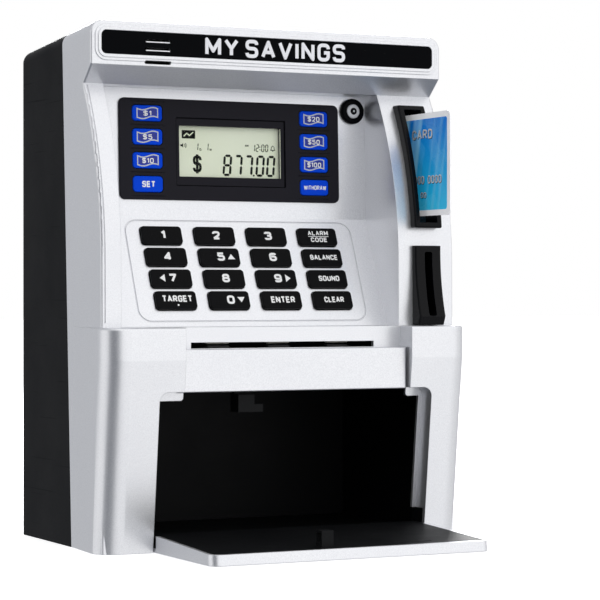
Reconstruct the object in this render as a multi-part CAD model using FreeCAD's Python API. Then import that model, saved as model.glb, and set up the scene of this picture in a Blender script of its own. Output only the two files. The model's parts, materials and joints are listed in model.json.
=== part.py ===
import FreeCAD, Part
import math
import os

V = FreeCAD.Vector

# Toy cash machine that works as a savings bank. Millimetres, X across, Y to the back, Z up.
# The origin is the middle of the flat underside, on the surface that the bank stands on.

# ---- driving dimensions: cabinet -------------------------------------------------------
HALF_W = 100.0            # half of the cabinet's width
WALL = 2.5                # moulded wall thickness
BACK_Y = 66.5
BACK_TOP_Z = 257.0
HEAD_Y = -35.7            # front face of the header
HEAD_TOP_Z = 265.0
HEAD_LOW_Z = 242.9
CHEEK_TOP = (-25.5, 234.0)     # where the header's under-face meets the cheeks
CHEEK_BEND = (-49.5, 145.0)    # above this the cheek curves back in one arc
CHEEK_FOOT_Y = -50.6
LEDGE_Z = 111.7           # top of the two legs and of the ledge between them
LEG_Y = -64.0             # front of the legs above the knee
KNEE_Z = 95.5             # below the knee the legs lean back
FOOT_Y = -53.3            # front of the legs at the floor
SEAM_FOOT_Y = -8.9        # seam between the front and rear shells, at the floor
SEAM_SLOPE = 0.0485       # the seam leans back by this much per millimetre of height
SEAM_GAP = 0.35
FAR_FRONT_Y = -120.0      # a plane well in front of everything, where cutting blocks start
EDGE_R = 6.5              # large roundings along the cabinet's top and back
LEG_R = 13.0              # rounding of the legs' outer corners
LEG_HOLLOW_R = 8.0        # and of the room inside them
LEG_HOLLOW_BACK_Y = -30.0
LEG_FLARE = 2.8           # the legs stand this much wider than the cabinet at each side
FLARE_Y = (-50.0, -12.0)  # the flare is full in front of the first and gone at the second

# ---- recessed console: screen panel over a sloping keypad surface ----------------------
RECESS_X = (-89.4, 67.1)
FOLD = (-12.9, 168.0)     # line where the screen panel meets the keypad surface
PAD_GROOVE = (130.4, 56.6, 7.0, 0.6)      # fine line around the keypad: width, height, corner, line width
PAD_GROOVE_AT = (-8.6, 30.2)              # its middle: X, and distance below the fold
PAD_GROOVE_DEPTH = 0.45
CHEEK_GROOVE_X = (-98.3, -97.8)           # fine line down the left cheek
CHEEK_GROOVE_Z = (114.0, 233.0)
CHEEK_GROOVE_DEPTH = 0.4
PANEL_TOP = (-10.7, 234.0)
KEYPAD_FOOT_Y = -37.0
LEDGE_FRONT_Y = -51.3

# ---- space between the legs, and the vault opening -------------------------------------
LEG_INNER_X = (-60.7, 67.1)
OPENING_X = (-74.0, 80.0)
OPENING_TOP = 79.8
OPENING_R = 5.0
REVEAL_DEPTH = 12.0       # depth of the opening's own rim, behind the legs' front face
REVEAL_LOW_Z = 16.0
LIP_W = 2.2               # width of the lip around the back of the rim
LIP_T = 2.0
CORNER_TABS_X = (-57.0, 70.0)     # inner ends of the two tabs that the closed door meets
CORNER_TABS_LOW_Z = 75.0
BILL_SLIT_X = (-52.5, 51.3)
BILL_SLIT_Z = (101.0, 104.0)

# ---- vault door, drawn open and lying on the floor --------------------------------------
HINGE_Z = 5.5
DOOR_GAP = 0.3
DOOR_SIDE_GAP = 0.6
DOOR_REACH = 74.1         # from the hinge axis to the free edge, on the outer face
DOOR_INNER_Z = (8.7, 5.6)      # height of the inner face at the hinge and at the free edge
DOOR_SKIN = 2.2
HINGE_PIN_R = 1.5
RUNNING_FIT = 0.05

# ---- keys -------------------------------------------------------------------------------
PAD_KEY = (22.5, 9.9, 1.9)     # width, height and how far a key stands proud
PAD_X0 = -54.2
PAD_PITCH_X = 29.85
PAD_DRIFT_X = 0.6         # each row sits this much further right than the row above
PAD_S0 = 11.0             # distance of the first row below the fold, along the slope
PAD_PITCH_S = 12.05
PAD_NAMES = (
    ("key_1", "key_2", "key_3", "key_alarm"),
    ("key_4", "key_5", "key_6", "key_balance"),
    ("key_7", "key_8", "key_9", "key_sound"),
    ("key_target", "key_0", "key_enter", "key_clear"),
)
CASH_KEY = (16.6, 8.2, 1.7)
CASH_X = (-59.8, 35.9)
CASH_Z0 = 221.0
CASH_PITCH = 12.15
CASH_NAMES = (
    ("cash_key_1", "cash_key_5", "cash_key_10", "key_set"),
    ("cash_key_20", "cash_key_50", "cash_key_100", "key_withdraw"),
)
KEY_CLEARANCE = 0.3
KEY_FLANGE = 0.7
KEY_CORNER_R = 1.9
KEY_EDGE_R = 0.55         # softening of a key's top edge
KEY_DIVIDER = (19.0, 0.45, 0.3)   # fine line between two blue keys: length, width, depth
PAD_KEY_FOOT = -3.6       # lower ends of the keys, below the surface they stand in
CASH_KEY_FOOT = -4.6
MEMBRANE = (122.0, 50.0, -7.6, -6.6)      # width, height, underside and top, from the keypad surface
DOME = (3.4, 2.4, 1.6)    # a rubber dome's lower radius, upper radius and height
PAD_BOARD = (124.0, 52.0, -9.4, -7.8)
BOARDS_AT = (-9.3, 29.1)  # middle of the keypad's sheet and board: X, and distance below the fold

# ---- display, camera and header ---------------------------------------------------------
FASCIA = (-75.3, 50.9, 176.6, 228.8)       # left, right, lower and upper edge
FASCIA_PROUD = 1.4
FASCIA_EDGE = 2.2         # the fascia overlaps its hole by this much all round
LCD_FRAME = (-43.8, 19.2, 184.0, 219.5)
LCD_VIEW = (-41.7, 16.9, 188.9, 215.4)
LCD_PANEL = (66.0, 37.0, -4.3, -2.6)      # width, height, back and front, from the screen panel
LCD_PANEL_Z = 201.8
CONTROL_BOARD = (122.0, 50.0, -9.1, -7.5)
CONTROL_BOARD_AT = (-12.0, 202.7)
CHIPS = (((16.0, 16.0), (-30.0, 200.0)), ((12.0, 6.0), (10.0, 206.0)))    # size and place of each chip
CAMERA = (59.5, 225.9)
CAMERA_RIM = (6.8, 2.6)   # radius and proud height of the camera's surround
CAMERA_BARREL_R = 5.0
CAMERA_EYE = (3.85, 2.9)
PLAQUE = (189.0, 11.7)
PLAQUE_Z = 254.0
SOUND_SLOT_X = (-71.0, -56.6)
SOUND_SLOT_Z = (255.5, 251.2, 244.7)
SOUND_SLOT_H = 1.7
SPEAKER_Z = 249.3
SPEAKER_FRONT_Y = -23.0
SPEAKER_R = (12.0, 7.0)   # radius of the basket's rim and of its magnet

# ---- slots in the right-hand column -----------------------------------------------------
SLOT_X = 83.1             # middle of both slots
CARD_BEZEL = (16.2, 162.9, 228.4, 5.2)   # width, lowest and highest point, proud height
CARD_MOUTH = (10.4, 165.7, 226.2)
CARD_SLEEVE_W = 13.4      # the bezels' sleeves pass through the wall
COIN_BEZEL_W = 15.4
COIN_SLEEVE_W = 10.0
SLEEVE_GAP = 0.2
COIN_SLOT = (4.6, 116.8, 150.4)
CARD = (0.8, 85.6, 54.0)
CARD_FRONT_Y = -76.0
CARD_Z = 196.3
CARD_CORNER_R = 3.2
CARD_GUIDE_W = 6.0
CARD_GUIDE_Y = (-20.5, 37.0)
CARD_GUIDE_Z = (166.5, 226.5)
CHUTE_Y = (-46.7, -10.5)
CHUTE_Z = (86.2, 153.0)
CHUTE_W = 8.0
CHUTE_WALL = 1.5

# ---- note feed and latch ----------------------------------------------------------------
FEED_Y = -42.0
DRIVE_Z = 97.8
DRIVE_R = 4.5
IDLER_Z = 105.75
IDLER_R = 2.8
TYRE_X = (-34.0, 0.0, 34.0)
TYRE_W = 12.0
GEAR_MODULE = 0.75
GEAR_TEETH = 24
PINION_TEETH = 10
GEAR_X = (-68.0, -64.5)
GEAR_CLEARANCE = 0.12
BOLT_NOSE = 4.0
BOLT_ARM_L = 65.0         # distance of the bolt from the hinge axis, along the closed door
BOLT_ARM_H = 5.0          # and its height above the closed door's axis line

# ---- vault liner ------------------------------------------------------------------------
LINER_X = 90.0
LINER_BACK_Y = 55.5
LINER_T = 1.5
LINER_Z = (2.7, 86.0)
LINER_STEP_Z = 77.0       # above this the liner's front steps back behind the ledge
NOTE_HOLE = ((-60.0, 60.0), (-12.0, 46.0))        # drop hole for notes in its ceiling: X and Y
COIN_HOLE = ((SLOT_X - 2.9, SLOT_X + 2.9), (-45.5, -11.7))
BOLT_HOLE = ((-28.6, -11.5), (-60.0, -42.0))
CEILING_CUT_Z = (80.0, 90.0)

# ---- battery compartment ----------------------------------------------------------------
BATTERY_X = 26.0
BATTERY_Z = (129.0, 193.0)
CELL_R = 7.1
CELL_L = 50.5

# ---- screws -----------------------------------------------------------------------------
REAR_SCREWS = [(sx * 90.8, z) for z in (125.0, 240.0) for sx in (-1, 1)]
BASE_SCREWS = [(sx * x, y) for x, y in ((89.0, -46.2), (92.2, 60.0)) for sx in (-1, 1)]
SCREW_HEAD_R = 2.4
SCREW_R = 1.2
SCREW_L = 12.0
BOSS_R = 3.5
BOSS_FRONT_Y = -10.0      # front end of the rear screws' bosses
HEAD_SEAT_Y = 5.5         # where the rear screws' heads rest, deep inside their bosses
RIB_HALF = 1.0            # half of the thickness of a boss's rib
BASE_BOSS_Z = (2.6, 14.0)
BASE_BORE_Z = (2.0, 13.0)
COUNTERSINK = 1.6


# ---- helpers ----------------------------------------------------------------------------
def box(x, y, z):
    """A block between the given pairs of coordinates."""
    return Part.makeBox(x[1] - x[0], y[1] - y[0], z[1] - z[0], V(x[0], y[0], z[0]))


def rod(radius, start, end):
    """A cylinder from one point to another."""
    a, b = V(*start), V(*end)
    return Part.makeCylinder(radius, (b - a).Length, a, b - a)


def fuse(shapes):
    shapes = list(shapes)
    return shapes[0].multiFuse(shapes[1:]).removeSplitter() if len(shapes) > 1 else shapes[0]


def cut(shape, tools):
    return shape.cut(list(tools))


def side_face(points):
    """A face in the YZ plane. A point may be (y, z), or (y, z, y, z) for an arc's middle and end."""
    edges = []
    start = V(0, points[0][0], points[0][1])
    first = start
    for p in list(points[1:]) + [points[0]]:
        end = V(0, p[-2], p[-1])
        if len(p) == 4:
            edges.append(Part.Arc(start, V(0, p[0], p[1]), end).toShape())
        else:
            edges.append(Part.makeLine(start, end))
        start = end
    assert start.isEqual(first, 1e-6)
    return Part.Face(Part.Wire(edges))


def across(face, x):
    """Extrude a YZ face between two X values."""
    solid = face.extrude(V(x[1] - x[0], 0, 0))
    solid.translate(V(x[0], 0, 0))
    return solid


def grown(face, distance):
    """The same outline, moved outward by distance, with sharp corners."""
    return face.makeOffset2D(distance, 2)


def round_edges(shape, radius, wanted):
    """Round the edges for which wanted(edge's middle, edge's direction) is true."""
    edges = []
    for e in shape.Edges:
        mid = e.valueAt((e.FirstParameter + e.LastParameter) / 2)
        ends = e.valueAt(e.LastParameter) - e.valueAt(e.FirstParameter)
        if wanted(mid, ends):
            edges.append(e)
    return shape.makeFillet(radius, edges) if edges else shape


def plate(width, height, low, high, corner):
    """A plate with rounded corners in local axes: X wide, Y high, Z out of the surface."""
    p = box((-width / 2, width / 2), (-height / 2, height / 2), (low, high))
    return round_edges(p, corner, lambda m, d: abs(d.z) > 0.5 * (high - low) and abs(d.x) + abs(d.y) < 1e-6)


def placed(shape, x, point, lean, s=0.0):
    """Move a shape from local axes onto a surface that faces the front.

    point is (y, z) on the surface, lean is the surface's angle in degrees from lying flat,
    and s is the distance down the surface from that point."""
    a = math.radians(lean)
    y = point[0] - s * math.cos(a)
    z = point[1] - s * math.sin(a)
    moved = shape.copy()
    moved.Placement = FreeCAD.Placement(V(x, y, z), FreeCAD.Rotation(V(1, 0, 0), lean))
    return moved


# ---- outlines ---------------------------------------------------------------------------
LEAN = math.degrees(math.atan2(KNEE_Z, FOOT_Y - LEG_Y))       # legs' lean, from lying flat
PAD_LEAN = math.degrees(math.atan2(FOLD[1] - LEDGE_Z, FOLD[0] - KEYPAD_FOOT_Y))
PANEL_LEAN = math.degrees(math.atan2(PANEL_TOP[1] - FOLD[1], PANEL_TOP[0] - FOLD[0]))
HINGE_Y = FOOT_Y - HINGE_Z / math.tan(math.radians(LEAN)) + HINGE_Z / math.sin(math.radians(LEAN))


def leg_y(z, depth=0.0):
    """Y of the legs' leaning front at height z, or of a plane that lies deeper behind it."""
    a = math.radians(LEAN)
    return FOOT_Y - z / math.tan(a) + depth / math.sin(a)


def cabinet_outline(low_z):
    """Side outline of the tall cabinet, without the legs."""
    chord = V(0, CHEEK_TOP[0] - CHEEK_BEND[0], CHEEK_TOP[1] - CHEEK_BEND[1])
    radius = chord.Length ** 2 / (2 * chord.y)
    turn = math.asin((CHEEK_TOP[1] - CHEEK_BEND[1]) / radius) / 2
    mid = (CHEEK_BEND[0] + radius * (1 - math.cos(turn)), CHEEK_BEND[1] + radius * math.sin(turn))
    return side_face([
        (BACK_Y, low_z),
        (BACK_Y, BACK_TOP_Z),
        (HEAD_Y, HEAD_TOP_Z),
        (HEAD_Y, HEAD_LOW_Z),
        CHEEK_TOP,
        mid + CHEEK_BEND,
        (CHEEK_FOOT_Y, low_z),
    ])


def leg_outline(low_z, back_y):
    """Side outline of the legs, which run on behind the cabinet's own front."""
    return side_face([
        (back_y, low_z), (leg_y(low_z), low_z), (LEG_Y, KNEE_Z), (LEG_Y, LEDGE_Z), (back_y, LEDGE_Z),
    ])


def recess_outline():
    """The console's recess, open to the front."""
    return side_face([
        (FAR_FRONT_Y, LEDGE_Z), (KEYPAD_FOOT_Y, LEDGE_Z), FOLD, PANEL_TOP, (FAR_FRONT_Y, PANEL_TOP[1]),
    ])


def behind_legs(near, far, low_z=-10.0, high_z=100.0):
    """Side outline of a slab that lies between two depths behind the legs' front."""
    return side_face([
        (leg_y(low_z, near), low_z), (leg_y(low_z, far), low_z),
        (leg_y(high_z, far), high_z), (leg_y(high_z, near), high_z),
    ])


def opening_block(extra, low_z):
    """The vault opening's outline as a block along Y, grown by extra at the sides and top."""
    x = (OPENING_X[0] - extra, OPENING_X[1] + extra)
    b = box(x, (FAR_FRONT_Y, -38.0), (low_z, OPENING_TOP + extra))
    top = OPENING_TOP + extra
    return round_edges(b, OPENING_R + extra, lambda m, d: abs(m.z - top) < 0.01 and abs(d.y) > 1)


# ---- cabinet shells ---------------------------------------------------------------------
def cabinet_outside():
    body = across(cabinet_outline(0.0), (-HALF_W, HALF_W))

    def large(mid, d):
        at_side = abs(abs(mid.x) - HALF_W) < 0.01
        at_back = abs(mid.y - BACK_Y) < 0.01
        top = at_side and mid.z > 255 and abs(d.y) > 50
        back = at_side and at_back and abs(d.z) > 50
        return top or back or (at_back and mid.z > 250 and abs(d.x) > 50)

    body = round_edges(body, EDGE_R, large)

    def front_rims(mid, d):
        at_side = abs(abs(mid.x) - HALF_W) < 0.01
        return at_side and mid.y < HEAD_Y + 12 and mid.y < -20 and abs(d.z) > 5

    body = round_edges(body, 1.2, front_rims)
    return fuse([body, legs_outside()])


def legs_outside():
    """The legs as one block across the front, a little wider than the cabinet."""
    wide = HALF_W + LEG_FLARE
    legs = across(leg_outline(0.0, FLARE_Y[1]), (-wide, wide))
    legs = round_edges(legs, LEG_R, lambda m, d: abs(abs(m.x) - wide) < 0.01 and m.y < -52 and abs(d.z) > 5)
    legs = round_edges(legs, 1.4, lambda m, d: abs(m.z - LEDGE_Z) < 0.01 and m.y < LEG_Y + 4)
    plan = [(-HALF_W, FLARE_Y[1]), (-wide, FLARE_Y[0]), (-wide, LEG_Y - 1), (wide, LEG_Y - 1),
            (wide, FLARE_Y[0]), (HALF_W, FLARE_Y[1])]
    corners = [V(x, y, 0) for x, y in plan + plan[:1]]
    return legs.common(Part.Face(Part.makePolygon(corners)).extrude(V(0, 0, LEDGE_Z)))


def cabinet_hollow():
    """The room inside the walls, open at the floor."""
    inside = (-HALF_W + WALL, HALF_W - WALL)
    tall = across(grown(cabinet_outline(-10.0), -WALL), inside)
    legs = across(grown(leg_outline(-10.0, LEG_HOLLOW_BACK_Y), -WALL), inside)
    legs = round_edges(legs, LEG_HOLLOW_R,
                       lambda m, d: abs(abs(m.x) - inside[1]) < 0.01 and m.y < -45 and abs(d.z) > 5)
    kept = cut(fuse([tall, legs]), [
        across(grown(recess_outline(), WALL), (RECESS_X[0] - WALL, RECESS_X[1] + WALL)),
        box((LEG_INNER_X[0] - WALL, LEG_INNER_X[1] + WALL), (FAR_FRONT_Y, LEDGE_FRONT_Y + WALL),
            (OPENING_TOP - 0.8 - WALL, LEDGE_Z + WALL)),
        reveal_block(),
    ])
    return kept


def reveal_block():
    """The opening with its rim, as deep as the rim goes."""
    rim = opening_block(WALL, REVEAL_LOW_Z)
    return rim.common(across(behind_legs(-20.0, REVEAL_DEPTH), (-HALF_W, HALF_W)))


def opening_lip():
    """A lip around the back of the rim, which turns in to a tab at each top corner for the closed door."""
    slab = across(behind_legs(REVEAL_DEPTH - LIP_T, REVEAL_DEPTH), (-HALF_W, HALF_W))
    sides = opening_block(1.0, REVEAL_LOW_Z).cut(opening_block(-LIP_W, REVEAL_LOW_Z - 1))
    left, right = CORNER_TABS_X
    sides = sides.cut(box((left, right), (FAR_FRONT_Y, 0.0), (0.0, LEDGE_Z)))
    pieces = list(sides.Solids)
    for inner, x in ((left, (OPENING_X[0] - 1, left)), (right, (right, OPENING_X[1] + 1))):
        tab = box(x, (-80.0, -38.0), (CORNER_TABS_LOW_Z, OPENING_TOP + 1))
        low = CORNER_TABS_LOW_Z + 0.1
        pieces.append(round_edges(tab, 1.5,
                                  lambda m, d: abs(m.x - inner) < 0.01 and m.z < low and abs(d.y) > 1))
    return [piece.common(slab) for piece in pieces]


def rear_boss(x, z):
    """A screw boss along Y with a rib to the side wall."""
    side = math.copysign(1, x)
    rib = box(sorted((x, side * (HALF_W - 0.5))), (BOSS_FRONT_Y, BACK_Y - EDGE_R - 1),
              (z - RIB_HALF, z + RIB_HALF))
    return fuse([rod(BOSS_R, (x, BOSS_FRONT_Y, z), (x, BACK_Y - 1, z)), rib])


def rear_boss_holes(x, z):
    return [
        rod(SCREW_HEAD_R + 0.3, (x, HEAD_SEAT_Y, z), (x, BACK_Y + 1, z)),
        rod(SCREW_R + 0.05, (x, BOSS_FRONT_Y + 2, z), (x, HEAD_SEAT_Y + 1, z)),
    ]


def base_boss(x, y):
    """A screw boss that stands over the base plate, with a rib to the side wall."""
    side = math.copysign(1, x)
    rib = box(sorted((x, side * (HALF_W - 0.5))), (y - RIB_HALF, y + RIB_HALF), BASE_BOSS_Z)
    return fuse([rod(BOSS_R - 0.4, (x, y, BASE_BOSS_Z[0]), (x, y, BASE_BOSS_Z[1])), rib])


def base_boss_bores():
    return [rod(SCREW_R + 0.05, (x, y, BASE_BORE_Z[0]), (x, y, BASE_BORE_Z[1])) for x, y in BASE_SCREWS]


def cabinet_shell():
    hollow = cabinet_hollow()
    shell = cabinet_outside().cut(hollow)
    shell = cut(shell, [across(recess_outline(), RECESS_X), opening_block(0.0, -10.0)])
    shell = fuse([shell] + opening_lip()
                 + [rear_boss(x, z) for x, z in REAR_SCREWS]
                 + [base_boss(x, y) for x, y in BASE_SCREWS])
    return shell.cut(box(LEG_INNER_X, (FAR_FRONT_Y, LEDGE_FRONT_Y), (OPENING_TOP - 0.8, LEDGE_Z + 1)))


def seam_half(front, gap):
    """A large block on one side of the leaning seam."""
    def y(z):
        return SEAM_FOOT_Y + SEAM_SLOPE * z
    far = -200.0 if front else 200.0
    shift = -gap if front else gap
    face = side_face([(y(-20) + shift, -20.0), (y(300) + shift, 300.0), (far, 300.0), (far, -20.0)])
    return across(face, (-150.0, 150.0))


def header_rings():
    """Two low steps around the header's plaque."""
    rings = []
    for grow, height in ((3.2, 0.5), (1.7, 1.0)):
        outer = plate(PLAQUE[0] + 2 * grow, PLAQUE[1] + 2 * grow, -1.0, height, 2.6 + grow)
        rings.append(placed(outer, 0.0, (HEAD_Y, PLAQUE_Z), 90.0))
    return rings


def sound_slots():
    """Three slots for the speaker's sound, through the header's face."""
    middle = (SOUND_SLOT_X[0] + SOUND_SLOT_X[1]) / 2
    bar = plate(SOUND_SLOT_X[1] - SOUND_SLOT_X[0], SOUND_SLOT_H, -8.0, 3.0, SOUND_SLOT_H / 2 - 0.05)
    return [placed(bar, middle, (HEAD_Y, z), 90.0) for z in SOUND_SLOT_Z]


def pad_key_places():
    """Name, X and distance below the fold of each keypad key."""
    for row, names in enumerate(PAD_NAMES):
        for column, name in enumerate(names):
            yield name, PAD_X0 + column * PAD_PITCH_X + row * PAD_DRIFT_X, PAD_S0 + row * PAD_PITCH_S


def cash_key_places():
    """Name, X and distance below the panel's top of each key beside the display."""
    for column, names in enumerate(CASH_NAMES):
        for row, name in enumerate(names):
            yield name, CASH_X[column], panel_s(CASH_Z0 - row * CASH_PITCH)


def panel_s(z):
    """Distance down the screen panel from its top edge to height z."""
    return (PANEL_TOP[1] - z) / math.sin(math.radians(PANEL_LEAN))


def on_panel(shape, x, z):
    return placed(shape, x, PANEL_TOP, PANEL_LEAN, panel_s(z))


def panel_plate(edges, low, high, corner, inset=0.0):
    """A plate on the screen panel between the given left, right, lower and upper edges."""
    left, right, bottom, top = edges
    shape = plate(right - left - 2 * inset, top - bottom - 2 * inset, low, high, corner)
    return on_panel(shape, (left + right) / 2, (bottom + top) / 2)


def on_pad(shape, x, s):
    return placed(shape, x, FOLD, PAD_LEAN, s)


def key_hole(size, low, high):
    return plate(size[0] + 2 * KEY_CLEARANCE, size[1] + 2 * KEY_CLEARANCE, low, high,
                 KEY_CORNER_R + KEY_CLEARANCE)


def pad_groove():
    """A fine line around the keypad."""
    width, height, corner, line = PAD_GROOVE
    outer = plate(width, height, -PAD_GROOVE_DEPTH, 1.0, corner)
    inner = plate(width - 2 * line, height - 2 * line, -1.0, 2.0, corner - line)
    return on_pad(outer.cut(inner), *PAD_GROOVE_AT)


def cheek_groove():
    """A fine line down the left cheek, just inside its outer edge."""
    wider = (CHEEK_GROOVE_X[0] - 1, CHEEK_GROOVE_X[1] + 1)
    strip = across(grown(cabinet_outline(0.0), 2.0), CHEEK_GROOVE_X)
    strip = strip.cut(across(grown(cabinet_outline(0.0), -CHEEK_GROOVE_DEPTH), wider))
    return strip.common(box(wider, (FAR_FRONT_Y, -24.0), CHEEK_GROOVE_Z))


def card_sleeve(gap=0.0):
    """X and Z of the card bezel's sleeve, grown by a gap."""
    half = CARD_SLEEVE_W / 2 + gap
    return (SLOT_X - half, SLOT_X + half), (CARD_MOUTH[1] - 1.2 - gap, CARD_MOUTH[2] + 1.2 + gap)


def coin_sleeve(gap=0.0):
    """X and Z of the coin bezel's sleeve, grown by a gap."""
    half = COIN_SLEEVE_W / 2 + gap
    return (SLOT_X - half, SLOT_X + half), (COIN_SLOT[1] - 1.5 - gap, COIN_SLOT[2] + 1.5 + gap)


def front_housing(shell):
    front = shell.common(seam_half(True, SEAM_GAP / 2))
    front = fuse([front] + header_rings())
    pocket = placed(plate(PLAQUE[0] + 0.3, PLAQUE[1] + 0.3, -0.8, 3.0, 2.7), 0.0, (HEAD_Y, PLAQUE_Z), 90.0)
    tools = [pocket, pad_groove(), cheek_groove()]
    tools += sound_slots()
    tools += [on_pad(key_hole(PAD_KEY, -4.0, 2.0), x, s) for _, x, s in pad_key_places()]
    tools.append(panel_plate(FASCIA, -6.0, 2.0, 2.0, inset=2.0))
    tools.append(on_panel(rod(CAMERA_BARREL_R + 0.1, (0, 0, -6), (0, 0, 3)), *CAMERA))
    card_x, card_z = card_sleeve(SLEEVE_GAP)
    coin_x, coin_z = coin_sleeve(SLEEVE_GAP)
    tools.append(box(card_x, (FAR_FRONT_Y, -15.0), card_z))
    tools.append(box(coin_x, (FAR_FRONT_Y, -40.0), coin_z))
    tools.append(box(BILL_SLIT_X, (FAR_FRONT_Y, -45.0), BILL_SLIT_Z))
    for x, z in REAR_SCREWS:
        tools += rear_boss_holes(x, z)
    tools += base_boss_bores()
    return cut(front, tools)


def rear_shell(shell):
    rear = shell.common(seam_half(False, SEAM_GAP / 2))
    tools = [box((-BATTERY_X, BATTERY_X), (BACK_Y - 5, BACK_Y + 1), BATTERY_Z)]
    for x, z in REAR_SCREWS:
        tools += rear_boss_holes(x, z)
    tools += base_boss_bores()
    notch = rod(9.0, (0, BACK_Y + 6.0, BATTERY_Z[1]), (0, BACK_Y + 6.0, BATTERY_Z[1] + 3.0))
    return cut(rear, tools + [notch])


def base_plate():
    half, front = HALF_W - WALL - 0.3, -50.0
    floor = box((-half, half), (-42.4, BACK_Y - WALL - 0.3), (0.0, WALL))
    toes = []
    for side in (-1, 1):
        toe = box(sorted((side * 84.6, side * half)), (front, -42.0), (0.0, WALL))
        toes.append(round_edges(toe, LEG_HOLLOW_R - 0.2,
                                lambda m, d: abs(m.x) > half - 0.01 and m.y < front + 0.01 and abs(d.z) > 1))
    tools = []
    for x, y in BASE_SCREWS:
        tools.append(rod(SCREW_R + 0.4, (x, y, -1), (x, y, 4)))
        tools.append(Part.makeCone(SCREW_HEAD_R + 0.1, SCREW_R + 0.4, COUNTERSINK, V(x, y, 0)))
    return cut(fuse([floor] + toes), tools)


def housing_screws():
    """Eight identical self-tapping screws, four from the back and four from below."""
    shaft = rod(SCREW_R, (0, 0, 1.5), (0, 0, SCREW_L))
    one = fuse([Part.makeCone(SCREW_HEAD_R, SCREW_R, COUNTERSINK, V(0, 0, 0)), shaft])
    arm, width, depth = (-1.6, 1.6), (-0.3, 0.3), (-0.1, 0.9)
    one = one.cut(fuse([box(arm, width, depth), box(width, arm, depth)]))
    screws = []
    for x, y in BASE_SCREWS:
        s = one.copy()
        s.translate(V(x, y, 0.05))
        screws.append(s)
    for x, z in REAR_SCREWS:
        s = one.copy()
        s.rotate(V(0, 0, 0), V(1, 0, 0), 90)
        s.translate(V(x, HEAD_SEAT_Y + 1.7, z))
        screws.append(s)
    return Part.makeCompound(screws)


# ---- console pieces ---------------------------------------------------------------------
def header_plaque():
    p = plate(PLAQUE[0], PLAQUE[1], -0.75, 0.35, 2.5)
    return cut(placed(p, 0.0, (HEAD_Y, PLAQUE_Z), 90.0), sound_slots())


def screen_fascia():
    """Dark panel that holds the display and its eight keys."""
    width = FASCIA[1] - FASCIA[0]
    height = FASCIA[3] - FASCIA[2]
    face = plate(width, height, 0.0, FASCIA_PROUD, 3.2)
    face = round_edges(face, 0.5, lambda m, d: abs(m.z - FASCIA_PROUD) < 0.01)
    plug = plate(width - 2 * FASCIA_EDGE, height - 2 * FASCIA_EDGE, -WALL, 0.2, 1.8)
    body = on_panel(fuse([face, plug]), (FASCIA[0] + FASCIA[1]) / 2, (FASCIA[2] + FASCIA[3]) / 2)
    tools = [panel_plate(LCD_FRAME, 0.6, 3.0, 0.6), panel_plate(LCD_VIEW, -4.0, 3.0, 0.4)]
    for _, x, s in cash_key_places():
        tools.append(placed(key_hole(CASH_KEY, -4.0, 3.0), x, PANEL_TOP, PANEL_LEAN, s))
        for half in (-0.5, 0.5):
            line = plate(KEY_DIVIDER[0], KEY_DIVIDER[1], FASCIA_PROUD - KEY_DIVIDER[2], 3.0, 0.2)
            tools.append(placed(line, x, PANEL_TOP, PANEL_LEAN, s + half * CASH_PITCH))
    return cut(body, tools)


def lcd_window():
    return panel_plate(LCD_VIEW, -1.0, 0.3, 0.3, inset=0.1)


def lcd_panel():
    return on_panel(plate(*LCD_PANEL, 0.6), (LCD_VIEW[0] + LCD_VIEW[1]) / 2, LCD_PANEL_Z)


def camera_bezel():
    """Round black surround with a barrel through the panel and a pocket for its eye."""
    radius, proud = CAMERA_RIM
    rim = rod(radius, (0, 0, 0), (0, 0, proud))
    rim = round_edges(rim, 1.1, lambda m, d: abs(m.z - proud) < 0.01)
    body = fuse([rim, rod(CAMERA_BARREL_R, (0, 0, -5), (0, 0, 1))])
    return on_panel(body.cut(rod(CAMERA_EYE[0] + 0.1, (0, 0, 0.8), (0, 0, 4))), *CAMERA)


def camera_lens():
    radius, proud = CAMERA_EYE
    eye = rod(radius, (0, 0, 0.85), (0, 0, proud))
    eye = round_edges(eye, 0.8, lambda m, d: abs(m.z - proud) < 0.01)
    return on_panel(eye, *CAMERA)


def keycap(size, foot):
    """A key with a retaining flange behind the wall."""
    width, height, proud = size
    cap = plate(width, height, foot, proud, KEY_CORNER_R)
    cap = round_edges(cap, KEY_EDGE_R, lambda m, d: abs(m.z - proud) < 0.01)
    flange = plate(width + 2 * KEY_FLANGE, height + 2 * KEY_FLANGE, foot, -WALL - 0.3, KEY_CORNER_R)
    return fuse([cap, flange])


def keypad_membrane():
    """Rubber sheet with one dome under each keypad key."""
    sheet = on_pad(plate(*MEMBRANE, 2.0), *BOARDS_AT)
    domes = [on_pad(Part.makeCone(*DOME, V(0, 0, MEMBRANE[3] - 0.1)), x, s) for _, x, s in pad_key_places()]
    return fuse([sheet] + domes)


def keypad_board():
    return on_pad(plate(*PAD_BOARD, 1.0), *BOARDS_AT)


def control_board():
    """Board behind the display, with a switch under each of the eight keys and its chips."""
    board = on_panel(plate(*CONTROL_BOARD, 1.0), *CONTROL_BOARD_AT)
    switch = plate(6.0, 6.0, -7.6, -6.0, 0.6)
    parts = [placed(switch, x, PANEL_TOP, PANEL_LEAN, s) for _, x, s in cash_key_places()]
    for size, place in CHIPS:
        parts.append(on_panel(plate(*size, -11.0, CONTROL_BOARD[2] + 0.1, 0.6), *place))
    return fuse([board] + parts)


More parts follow.
